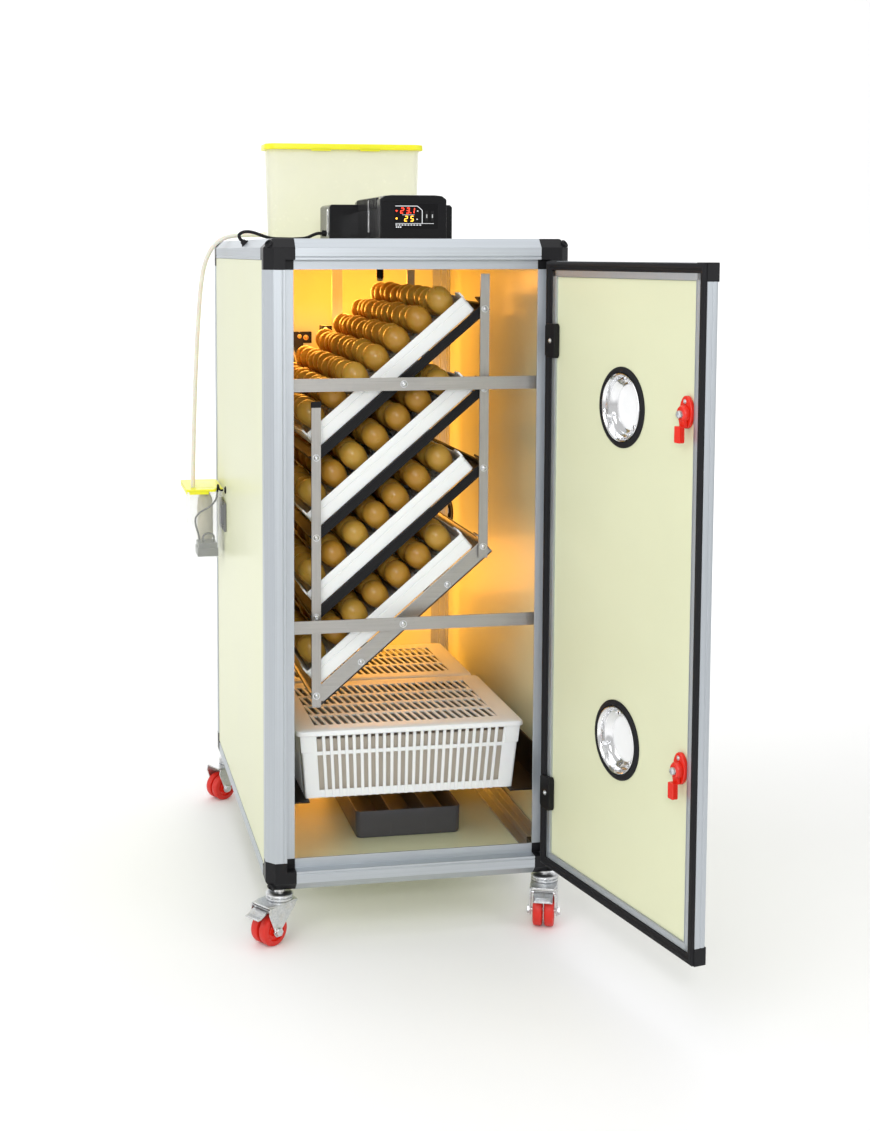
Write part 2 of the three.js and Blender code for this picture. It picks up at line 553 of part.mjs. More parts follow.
// ---------------------------------------------------------------- castors
// Built about the swivel line, z down from the frame, the wheel trailing along +x.
const WHEEL = { radius: 27, trail: 25, half: 18.5 };
const axleZ = WHEEL.radius - CASTOR_HEIGHT;
const legOutline = [[-18, -19], [44, -19], [46, -30], [33, -66], [29, -70], [21, -70], [17, -66], [-10, -30]];
function fork() {
  const leg = (y) => lay(prism(legOutline, 2.5), [0, y, 0], [1, 0, 0], [0, 0, 1], [0, 1, 0]);
  return carve([
    rod([0, 0, -GAP], [0, 0, -5], 10),
    rod([0, 0, -4], [0, 0, -18], 24, 20),
    slab(-22, 45, -24, 24, -21, -17),
    leg(-24), leg(21.5),
    rod([WHEEL.trail, -25, axleZ], [WHEEL.trail, 25, axleZ], 4),
  ]);
}
function wheel() {
  const h = WHEEL.half;
  const r = WHEEL.radius;
  const profile = [
    [4.6, -h], [r - 4, -h], [r, -h + 4], [r, -4], [r - 3, -2], [r - 3, 2], [r, 4], [r, h - 4], [r - 4, h], [4.6, h], [4.6, -h],
  ];
  return turned(profile, 0, 0, 28);
}
function brake() {
  const plate = prism([[-4, -2], [26, -9], [27, -6], [-4, 2]], 34);
  return carve([
    lay(plate, [0, -17, 0], [1, 0, 0], [0, 0, 1], [0, 1, 0]),
    rod([0, -21, 0], [0, 21, 0], 2.5, 10),
  ]);
}
const castors = {
  front_left: { x: -1, back: false, turn: 215, brake: true },
  front_right: { x: 1, back: false, turn: 250, brake: true },
  rear_left: { x: -1, back: true, turn: 210, brake: false },
  rear_right: { x: 1, back: true, turn: 235, brake: false },
};
const stem = BLOCK / 2;
for (const [place, c] of Object.entries(castors)) {
  const swivel = new THREE.Group();
  swivel.position.set(c.x * (WIDTH / 2 - stem), c.back ? DEPTH - stem : stem, 0);
  swivel.rotation.z = THREE.MathUtils.degToRad(c.turn);
  cabinet.add(swivel);
  piece(`castor_fork_${place}`, fork(), ZINC, swivel);
  piece(`castor_wheel_${place}`, wheel(), RED, swivel).position.set(WHEEL.trail, 0, axleZ);
  if (c.brake) piece(`castor_brake_${place}`, brake(), ZINC, swivel).position.set(38, 0, -27);
}

// ---------------------------------------------------------------- controller
const deck = HEIGHT - skinOut + GAP;
const BOX = { x0: -47, x1: 70, y0: 100, y1: 330, top: 1175 };
const WING = { x0: -100, x1: 130, y0: 298, y1: 400, top: 1164 };
const BUTTON = { xs: [34, 44], z: 1139, width: 5, height: 18, travel: 1.5 };
const hood = prism([[BOX.x0, deck], [BOX.x1, deck], [BOX.x1, BOX.top - 5], [BOX.x1 - 6, BOX.top],
  [BOX.x0 + 6, BOX.top], [BOX.x0, BOX.top - 5]], BOX.y1 - BOX.y0);
piece('controller', carve([
  lay(hood, [0, BOX.y1, 0], [1, 0, 0], [0, 0, 1], [0, -1, 0]),
  slab(WING.x0, WING.x1, WING.y0, WING.y1, deck, WING.top),
  rod([WING.x0 + 2, 350, 1112], [WING.x0 - 6, 350, 1112], 6),
], BUTTON.xs.map((x) => slab(x - BUTTON.width / 2 - 0.4, x + BUTTON.width / 2 + 0.4, BOX.y0 - 1, BOX.y0 + 6,
  BUTTON.z - BUTTON.height / 2 - 0.4, BUTTON.z + BUTTON.height / 2 + 0.4))), BLACK, cabinet);
BUTTON.xs.forEach((x, i) => piece(`button_${['left', 'right'][i]}`,
  slab(x - BUTTON.width / 2, x + BUTTON.width / 2, BOX.y0 - 2, BOX.y0 + 4,
    BUTTON.z - BUTTON.height / 2, BUTTON.z + BUTTON.height / 2), GREY, cabinet));

// ---------------------------------------------------------------- header tank and float vessel
const OUTLET = { y: 650, z: 1112 };
piece('header_tank', carve([
  tub(TANK.x0, TANK.x1, TANK.y0, TANK.y1, deck, TANK.top, TANK.wall),
  rod([TANK.x0 + 1, OUTLET.y, OUTLET.z], [TANK.x0 - 7, OUTLET.y, OUTLET.z], 6),
]), CLEAR, cabinet);
piece('header_tank_lid',
  lid(TANK.x0 - 7, TANK.x1 + 7, TANK.y0 - 7, TANK.y1 + 7, TANK.top - 8, TANK.top + 4, 6, 4 - GAP), YELLOW, cabinet);

const V = VESSEL;
piece('float_vessel', carve([
  tub(V.x0, V.x1, V.y0, V.y1, V.z0, V.z1, V.wall),
  slab(V.x1 - 1, -sideX - GAP, 598, 690, 512, 574),
]), CLEAR, cabinet);
piece('float_vessel_lid', carve([
  lid(V.x0 - 6, V.x1 + 1.2, V.y0 - 6, V.y1 + 6, V.z1 - 5, V.z1 + 6, 0.6, 6 - GAP),
], [slab(V.x1 - 14, V.x1 + 3, V.y0 - 7, V.y0 + 12, V.z1 - 6, V.z1 + 7)]), YELLOW, cabinet);
const PUMP = { x0: -314, x1: -271, y0: 636, y1: 690, top: 487 };
piece('float_pump', carve([
  slab(PUMP.x0, PUMP.x1, PUMP.y0, PUMP.y1, V.z0 + V.wall + GAP, PUMP.top),
  rod([-309, 645, PUMP.top - 2], [-309, 645, PUMP.top + 5], 3.2, 10),
]), GREY, cabinet);

// ---------------------------------------------------------------- cords
const hoseRoute = [
  [TANK.x0 - 7 - GAP, OUTLET.y, OUTLET.z], [-203, 650, 1112], [-216, 650, 1111.5], [-231, 650, 1110.5],
  [-246, 650, 1108], [-259, 650, 1103], [-271, 650, 1094.5], [-281, 650, 1082], [-290, 650, 1064],
  [-297, 650, 1040], [-302, 650, 1008], [-306, 650, 965], [-310, 650, 905], [-314, 650, 830],
  [-317.5, 650, 740], [-320, 650, 660], [-321, 650, V.z1 + 6 + GAP],
];
piece('water_hose', tube(hoseRoute, HOSE_RADIUS, 8, 44), HOSE, cabinet);

const pumpCableRoute = [
  [-309, 645, PUMP.top + 5 + GAP], [-310.5, 644, 502], [-314, 641, 514], [-317.5, 637, 528],
  [-317, 633.5, 541], [-309, 632, 551], [-297, 631.5, 558], [-285, 631, 566], [-276.5, 631, 577],
  [-273.5, 631, 590], [-273, 629.5, 600], [-273, 622, 607.5], [-273, 613, 606.5], [-272, 608.6, 601.5],
  [-269, 608, 599.2], [-sideX - PUMP_GLAND.length - GAP, 608, 599],
];
piece('pump_cable', tube(pumpCableRoute, PUMP_CABLE_RADIUS, 8, 40), BLACK, cabinet);

const supplyRoute = [
  [WING.x0 - 6 - GAP, 350, 1112], [-113, 350, 1112], [-122, 349.5, 1109], [-134, 347, 1104], [-155, 340, 1101.8],
  [-180, 331, 1101.8], [-202, 323, 1102.6], [-220, 318, 1107], [-234, 315.6, 1112], [-246, 315, 1114.5],
  [-257, 315, 1113.5], [-263.5, 315, 1108.5], glandTip(GLAND.length + 6), glandTip(GLAND.length + GAP),
];
piece('supply_cable', tube(supplyRoute, SUPPLY_CABLE_RADIUS, 8, 36), BLACK, cabinet);

export default incubator;
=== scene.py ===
"""Egg incubator: the finished look of a cabinet incubator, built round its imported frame.

Lengths are metres. Most pieces are drawn in the cabinet's own axes: x from the middle of the front,
y into the cabinet, z up from the underside of its frame.
"""
import json
import math

import bmesh
import bpy
from mathutils import Matrix, Vector


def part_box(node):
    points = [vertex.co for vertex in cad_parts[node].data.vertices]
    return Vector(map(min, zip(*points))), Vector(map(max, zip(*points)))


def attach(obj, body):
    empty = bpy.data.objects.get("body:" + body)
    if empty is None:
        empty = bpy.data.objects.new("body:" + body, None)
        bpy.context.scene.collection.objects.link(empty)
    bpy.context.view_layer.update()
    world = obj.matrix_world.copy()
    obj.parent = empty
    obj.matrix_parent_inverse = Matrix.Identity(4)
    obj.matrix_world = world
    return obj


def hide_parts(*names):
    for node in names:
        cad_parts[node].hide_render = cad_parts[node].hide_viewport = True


bl_info = {
    "name": "Egg Incubator",
    "version": (1, 0, 0),
    "blender": (4, 5, 0),
    "location": "View3D > Sidebar > Incubator",
    "description": "Builds the visible pieces of a cabinet egg incubator on its frame",
    "category": "Object",
}

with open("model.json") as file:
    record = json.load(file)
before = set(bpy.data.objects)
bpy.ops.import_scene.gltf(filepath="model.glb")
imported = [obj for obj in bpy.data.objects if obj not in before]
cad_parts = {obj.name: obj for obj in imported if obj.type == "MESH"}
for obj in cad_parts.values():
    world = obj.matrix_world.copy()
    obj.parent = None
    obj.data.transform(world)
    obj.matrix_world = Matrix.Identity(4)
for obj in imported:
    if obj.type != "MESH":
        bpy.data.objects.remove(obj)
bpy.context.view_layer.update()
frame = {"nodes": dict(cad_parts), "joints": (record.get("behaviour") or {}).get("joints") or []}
JOINTS = {joint["name"]: joint for joint in frame["joints"]}
NODES = frame["nodes"]


# ---------------------------------------------------------------- places
def joint_place(name):
    return Vector(JOINTS[name]["pos_m"])


frame_low, frame_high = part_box("front_frame")
WIDTH = frame_high.x - frame_low.x
HEIGHT = frame_high.z - frame_low.z
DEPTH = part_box("rear_frame")[1].y - frame_low.y
CORNER = Vector(((frame_low.x + frame_high.x) / 2, frame_low.y, frame_low.z))
CABINET = Matrix.Translation(CORNER)
HINGE = joint_place("door_swing") - CORNER
HINGE.z = 0
DOOR_ANGLE = math.radians(-JOINTS["door_swing"]["range_deg"][0])
DOOR = (CABINET @ Matrix.Translation(HINGE) @ Matrix.Rotation(DOOR_ANGLE, 4, "Z")
        @ Matrix.Translation(-HINGE))
TILT = math.radians(JOINTS["tray_1_tilt"]["range_deg"][1] / 2)
TRAY_COUNT = 4
TOP_PIVOT = joint_place("tray_1_tilt") - CORNER
TRAY_PITCH = (joint_place("tray_1_tilt").z - joint_place("tray_4_tilt").z) / (TRAY_COUNT - 1)


def tray_place(number):
    """The placement of one tray's own axes: x along it, y as the cabinet's, z square to it."""
    pivot = Vector((TOP_PIVOT.x, 0, TOP_PIVOT.z - number * TRAY_PITCH))
    return CABINET @ Matrix.Translation(pivot) @ Matrix.Rotation(-TILT, 4, "Y")


BLOCK = 0.051
TUBE = 0.035
REBATE = 0.020
FIN = 0.003
CHAMFER = 0.015
DECK = HEIGHT - 0.0015
DOOR_HALF = 0.223
DOOR_LOW = 0.037
DOOR_HIGH = HEIGHT - 0.037
DOOR_FRONT = -0.008
DOOR_BACK = 0.012
LINK_TOP = 0.095


# ---------------------------------------------------------------- settings
def colour(name, description, value):
    return bpy.props.FloatVectorProperty(
        name=name, description=description, subtype="COLOR", size=3, default=value, min=0, max=1)


def length(name, description, value):
    return bpy.props.FloatProperty(
        name=name, description=description, default=value, min=0, unit="LENGTH", precision=4)


class IncubatorColours(bpy.types.PropertyGroup):
    """Colours of the incubator's finishes."""
    panel: colour("Panels", "Cream laminate of the cabinet and door", (0.74, 0.76, 0.52))
    aluminium: colour("Aluminium", "Anodised frame and door edging", (0.53, 0.565, 0.60))
    black: colour("Black plastic", "Corner blocks, tray carriers and controller", (0.007, 0.007, 0.0085))
    white: colour("White plastic", "Egg trays and hatching crates", (0.86, 0.88, 0.88))
    red: colour("Red", "Castor wheels and door latches", (0.78, 0.02, 0.008))
    yellow: colour("Yellow", "Lids of the tank and the float vessel", (0.93, 0.87, 0.02))
    basin: colour("Water tray", "Grey water tray", (0.085, 0.083, 0.098))
    hose: colour("Hose", "Milky water hose", (0.70, 0.69, 0.61))
    shell: colour("Egg", "Brown egg shell", (0.43, 0.21, 0.022))
    shell_pale: colour("Pale egg", "The paler shells", (0.54, 0.33, 0.052))
    glow: colour("Lamp", "Warm light from the back of the cabinet", (1.0, 0.40, 0.055))


class IncubatorSizes(bpy.types.PropertyGroup):
    """Sizes that only the look uses."""
    egg_thickness: length("Egg thickness", "Largest diameter of an egg", 0.0435)
    egg_length: length("Egg length", "Length of an egg", 0.057)
    egg_pitch: length("Egg pitch", "Distance between eggs on a tray", 0.049)
    slot_pitch: length("Slot pitch", "Distance between the slots of a crate", 0.0136)
    slot_rib: length("Slot rib", "Width of the ribs between a crate's slots", 0.0056)


# ---------------------------------------------------------------- shader maths
class Value:
    """One output socket; arithmetic on it adds Math nodes."""

    def __init__(self, shader, socket):
        self.shader = shader
        self.socket = socket

    def math(self, operation, first, second=0.0):
        return self.shader.node("ShaderNodeMath", {"operation": operation}, {0: first, 1: second})

    def __add__(self, other):
        return self.math("ADD", self, other)

    def __radd__(self, other):
        return self.math("ADD", other, self)

    def __sub__(self, other):
        return self.math("SUBTRACT", self, other)

    def __rsub__(self, other):
        return self.math("SUBTRACT", other, self)

    def __mul__(self, other):
        return self.math("MULTIPLY", self, other)

    def __rmul__(self, other):
        return self.math("MULTIPLY", other, self)

    def above(self, edge):
        return self.math("GREATER_THAN", self, edge)


class Shader:
    """A material in the making. Constants are set straight on the shader's sockets."""

    def __init__(self, name, **constants):
        self.material = bpy.data.materials.new(name)
        self.material.use_nodes = True
        self.tree = self.material.node_tree
        self.surface = self.tree.nodes["Principled BSDF"]
        for socket, value in constants.items():
            self.surface.inputs[socket.replace("_", " ")].default_value = value
        self.position = self.node("ShaderNodeTexCoord", output="Object")

    def node(self, kind, settings=None, inputs=None, output=0):
        """Adds a node: its settings first, then a value or a link for each named input."""
        node = self.tree.nodes.new(kind)
        for key, value in (settings or {}).items():
            if key == "stops":
                self.set_stops(node.color_ramp, value)
            else:
                setattr(node, key, value)
        for key, value in (inputs or {}).items():
            if isinstance(value, Value):
                self.tree.links.new(value.socket, node.inputs[key])
            else:
                node.inputs[key].default_value = value
        return Value(self, node.outputs[output])

    @staticmethod
    def set_stops(ramp, stops):
        while len(ramp.elements) < len(stops):
            ramp.elements.new(0.5)
        for element, (place, shade) in zip(ramp.elements, stops):
            element.position = place
            element.color = (*shade, 1) if isinstance(shade, tuple) else (shade, shade, shade, 1)

    def stretched(self, x, y, z):
        """The object's position, scaled along each axis."""
        return self.node("ShaderNodeVectorMath", {"operation": "MULTIPLY"},
                         {0: self.position, 1: (x, y, z)})

    def noise(self, scale, detail=3.0, where=None, roughness=0.55):
        return self.node("ShaderNodeTexNoise", {}, {
            "Vector": where or self.position, "Scale": scale, "Detail": detail, "Roughness": roughness})

    def ramp(self, factor, stops):
        return self.node("ShaderNodeValToRGB", {"stops": stops}, {"Fac": factor})

    def mix(self, factor, first, second):
        """Mixes two colours, each a tuple or a link."""
        full = [shade if isinstance(shade, Value) else (*shade, 1) for shade in (first, second)]
        return self.node("ShaderNodeMix", {"data_type": "RGBA"},
                         {0: factor, 6: full[0], 7: full[1]}, output=2)

    def bump(self, height, strength, distance=0.001):
        made = self.node("ShaderNodeBump", {},
                         {"Height": height, "Strength": strength, "Distance": distance})
        self.tree.links.new(made.socket, self.surface.inputs["Normal"])

    def feed(self, **links):
        for socket, value in links.items():
            self.tree.links.new(value.socket, self.surface.inputs[socket.replace("_", " ")])
        return self.material


MATERIALS = {}


def finish_of(maker, *arguments):
    """Each finish is made once and shared."""
    key = (maker.__name__, *arguments)
    if key not in MATERIALS:
        MATERIALS[key] = maker(*arguments)
    return MATERIALS[key]


def shade(base, factor):
    return tuple(min(1.0, channel * factor) for channel in base)


def colours():
    return bpy.context.scene.incubator_colours


def sizes():
    return bpy.context.scene.incubator_sizes


# ---------------------------------------------------------------- finishes
def laminate(name="cream_laminate", tint=1.0):
    """Gel-coated sheet: nearly smooth, a little cloudy, with a faint ripple and dust."""
    s = Shader(name, IOR=1.5, Coat_Weight=0.12, Coat_Roughness=0.12)
    # A tint above 1 paints the panel lighter. This is painted light, used for the cabinet floor.
    base = shade(colours().panel, tint)
    cloud = s.noise(3.1, 4.0)
    fine = s.noise(160, 3.0)
    specks = s.noise(900, 2.0).above(0.72)
    body = s.mix(cloud, shade(base, 0.93), shade(base, 1.05))
    body = s.mix(specks * 0.25, body, shade(base, 0.7))
    s.bump(s.noise(38, 2.0) * 0.7 + fine * 0.3, 0.12, 0.0012)
    return s.feed(Base_Color=body, Roughness=0.34 + 0.16 * cloud)


def aluminium(name, axis):
    """Satin anodised extrusion, with die lines along its length and a few rubs."""
    s = Shader(name, Metallic=1.0)
    across = [520, 520, 520]
    across["XYZ".index(axis)] = 3
    lines = s.noise(1.0, 4.0, s.stretched(*across))
    cloud = s.noise(5, 3.0)
    rubs = s.ramp(s.noise(22, 6.0, roughness=0.7), [(0.62, 0.0), (0.78, 1.0)])
    base = colours().aluminium
    body = s.mix(lines, shade(base, 0.86), shade(base, 1.12))
    body = s.mix(rubs * 0.18, body, shade(base, 1.3))
    s.bump(lines, 0.10, 0.0004)
    return s.feed(Base_Color=body, Roughness=0.36 + 0.14 * lines + 0.08 * cloud)


def steel(name, axis):
    """Brushed stainless sheet: fine grain along its length, handling marks and cloudy wear."""
    s = Shader(name, Metallic=1.0)
    across = [900, 900, 900]
    across["XYZ".index(axis)] = 9
    grain = s.noise(1.0, 5.0, s.stretched(*across), 0.7)
    wear = s.noise(26, 6.0, roughness=0.68)
    pits = s.ramp(s.noise(230, 4.0, roughness=0.8), [(0.60, 0.0), (0.70, 1.0)])
    body = s.mix(grain, (0.24, 0.24, 0.235), (0.56, 0.56, 0.55))
    body = s.mix(wear * 0.45, body, (0.55, 0.50, 0.43))
    body = s.mix(pits * 0.3, body, (0.28, 0.26, 0.23))
    s.bump(grain * 0.7 - pits * 0.3, 0.16, 0.0004)
    return s.feed(Base_Color=body, Roughness=0.26 + 0.2 * grain + 0.14 * wear)


def zinc():
    """Zinc plate: pale, faintly crystalline and blotchy."""
    s = Shader("zinc_plate", Metallic=1.0)
    flakes = s.node("ShaderNodeTexVoronoi", {}, {"Vector": s.position, "Scale": 420.0}, output="Color")
    grey = s.node("ShaderNodeRGBToBW", {}, {0: flakes})
    stain = s.noise(60, 5.0)
    body = s.mix(grey, (0.60, 0.62, 0.64), (0.80, 0.81, 0.82))
    body = s.mix(s.ramp(stain, [(0.5, 0.0), (0.72, 1.0)]) * 0.4, body, (0.62, 0.57, 0.45))
    s.bump(s.noise(700, 3.0), 0.08, 0.0005)
    return s.feed(Base_Color=body, Roughness=0.22 + 0.2 * stain)


def chrome():
    s = Shader("bright_chrome", Metallic=1.0)
    haze = s.noise(90, 4.0)
    return s.feed(Base_Color=s.mix(haze, (0.80, 0.81, 0.83), (0.92, 0.92, 0.92)),
                  Roughness=0.06 + 0.1 * haze)


def brass():
    s = Shader("brass", Metallic=1.0)
    tarnish = s.noise(120, 5.0)
    return s.feed(Base_Color=s.mix(tarnish, (0.78, 0.52, 0.20), (0.48, 0.28, 0.10)),
                  Roughness=0.22 + 0.3 * tarnish)


def moulded(name, base, roughness=0.38, grain=420, depth=0.18, wear=0.35):
    """Moulded plastic: fine texture, faint flow clouds, paler rubbed grain."""
    s = Shader(name, IOR=1.5, Specular_IOR_Level=0.5 if max(base) > 0.05 else 0.22)
    texture = s.noise(grain, 3.0)
    cloud = s.noise(14, 4.0)
    rub = s.ramp(s.noise(55, 7.0, roughness=0.75), [(0.60, 0.0), (0.75, 1.0)])
    pale = tuple(channel * 1.1 + 0.014 for channel in base)
    body = s.mix(cloud, shade(base, 0.86), shade(base, 1.1))
    body = s.mix(rub * wear, body, pale)
    s.bump(texture, depth, 0.0005)
    return s.feed(Base_Color=body, Roughness=roughness - 0.06 + 0.14 * cloud)


def black_plastic():
    return moulded("black_plastic", tuple(colours().black), 0.36, 620, 0.22)


def gloss_black():
    return moulded("gloss_black_plastic", tuple(colours().black), 0.20, 240, 0.05, 0.2)


def rubber():
    return moulded("black_rubber", (0.010, 0.010, 0.012), 0.62, 900, 0.3, 0.25)


def white_plastic():
    s = Shader("white_plastic", IOR=1.5, Subsurface_Radius=(0.004, 0.003, 0.002), Subsurface_Weight=0.12)
    base = tuple(colours().white)
    cloud = s.noise(9, 4.0)
    dust = s.ramp(s.noise(70, 7.0, roughness=0.8), [(0.60, 0.0), (0.80, 1.0)])
    body = s.mix(cloud, shade(base, 0.95), shade(base, 1.03))
    body = s.mix(dust * 0.22, body, (0.70, 0.62, 0.47))
    s.bump(s.noise(330, 3.0), 0.14, 0.0006)
    return s.feed(Base_Color=body, Roughness=0.34 + 0.16 * cloud)


def red_plastic():
    return moulded("red_plastic", tuple(colours().red), 0.24, 300, 0.1, 0.25)


def red_tread():
    return moulded("red_tread", shade(colours().red, 0.86), 0.42, 520, 0.3, 0.5)


def yellow_plastic():
    s = Shader("yellow_plastic", IOR=1.5, Subsurface_Weight=0.2)
    base = tuple(colours().yellow)
    cloud = s.noise(12, 4.0)
    body = s.mix(cloud, shade(base, 0.92), shade(base, 1.05))
    s.bump(s.noise(260, 3.0), 0.1, 0.0006)
    return s.feed(Base_Color=body, Roughness=0.26 + 0.14 * cloud)


def basin_plastic():
    return moulded("basin_plastic", tuple(colours().basin), 0.34, 200, 0.12, 0.15)


def liner_cloth():
    """Coarse woven cloth: raised threads both ways, painted paler on their tops and darker in the valleys
    between, as painted shade of the weave.
    """
    s = Shader("liner_cloth", IOR=1.4)
    up, along = [s.node("ShaderNodeTexWave", {"bands_direction": way},
                        {"Vector": s.position, "Scale": scale, "Distortion": 0.6})
                 for way, scale in (("Z", 190.0), ("DIAGONAL", 150.0))]
    weave = 0.5 * up + 0.5 * along
    stain = s.noise(30, 5.0)
    # The colour follows the weave's height: the darker valleys are painted shade and the paler thread tops
    # painted light.
    body = s.mix(weave, (0.36, 0.31, 0.25), (0.66, 0.61, 0.53))
    body = s.mix(stain * 0.4, body, (0.42, 0.36, 0.28))
    s.bump(weave, 0.5, 0.0008)
    return s.feed(Base_Color=body, Roughness=0.75 + 0.15 * stain)


def hose_plastic():
    s = Shader("hose_plastic", IOR=1.45, Subsurface_Weight=0.3)
    base = tuple(colours().hose)
    wet = s.noise(40, 5.0)
    s.bump(s.noise(520, 2.0), 0.1, 0.0004)
    return s.feed(Base_Color=s.mix(wet, shade(base, 0.88), shade(base, 1.12)), Roughness=0.28 + 0.2 * wet)


def milky(name, base, clear, frosted):
    """Translucent sheet: alpha and gloss vary a little, as a thin moulding does."""
    s = Shader(name, IOR=1.45)
    cloud = s.noise(7, 4.0)
    scuffs = s.ramp(s.noise(50, 8.0, roughness=0.8), [(0.58, 0.0), (0.76, 1.0)])
    body = s.mix(cloud, shade(base, 0.96), shade(base, 1.04))
    s.bump(s.noise(240, 3.0), 0.06, 0.0005)
    return s.feed(Base_Color=body, Alpha=clear + 0.08 * cloud + 0.08 * scuffs,
                  Roughness=frosted + 0.15 * scuffs)


def egg_shell():
    """Brown shells: each egg has its own shade, with pores and darker speckles."""
    s = Shader("egg_shell", IOR=1.48, Subsurface_Weight=0.15)
    own = s.node("ShaderNodeNewGeometry", output="Random Per Island")
    cloud = s.noise(75, 4.0)
    speckle = s.ramp(s.noise(420, 5.0, roughness=0.7), [(0.62, 0.0), (0.70, 1.0)])
    body = s.mix(own, tuple(colours().shell), tuple(colours().shell_pale))
    body = s.mix(cloud * 0.4, body, shade(colours().shell, 0.8))
    body = s.mix(speckle * 0.4, body, shade(colours().shell, 0.45))
    s.bump(s.noise(1500, 2.0), 0.12, 0.0003)
    return s.feed(Base_Color=body, Roughness=0.22 + 0.16 * cloud)


def lamp(name, tint, strength):
    """Lit digits and marks, a little uneven along their length."""
    s = Shader(name, Base_Color=(*shade(tint, 0.2), 1), Roughness=0.4, Emission_Strength=strength)
    uneven = s.noise(900, 2.0)
    return s.feed(Emission_Color=s.mix(uneven, shade(tint, 0.8), tint))


def floor_finish():
    s = Shader("pale_floor")
    cloud = s.noise(0.7, 3.0)
    return s.feed(Base_Color=s.mix(cloud, (0.90, 0.90, 0.90), (0.94, 0.94, 0.94)),
                  Roughness=0.7 + 0.1 * cloud)


# ---------------------------------------------------------------- meshes
SHARP_ANGLE = math.radians(40)
ROUNDED_ANGLE = math.radians(35)


def along_x(u, v, s):
    return s, u, v


def along_y(u, v, s):
    return u, s, v


def along_z(u, v, s):
    return u, v, s


def in_scene(name, data):
    made = bpy.data.objects.new(name, data)
    bpy.context.scene.collection.objects.link(made)
    return made


def aimed(place, facing):
    """A placement at a point, whose z axis faces that way."""
    return Matrix.Translation(Vector(place)) @ Vector(facing).to_track_quat("Z", "Y").to_matrix().to_4x4()


def angles(count):
    return [2 * math.pi * i / count for i in range(count)]


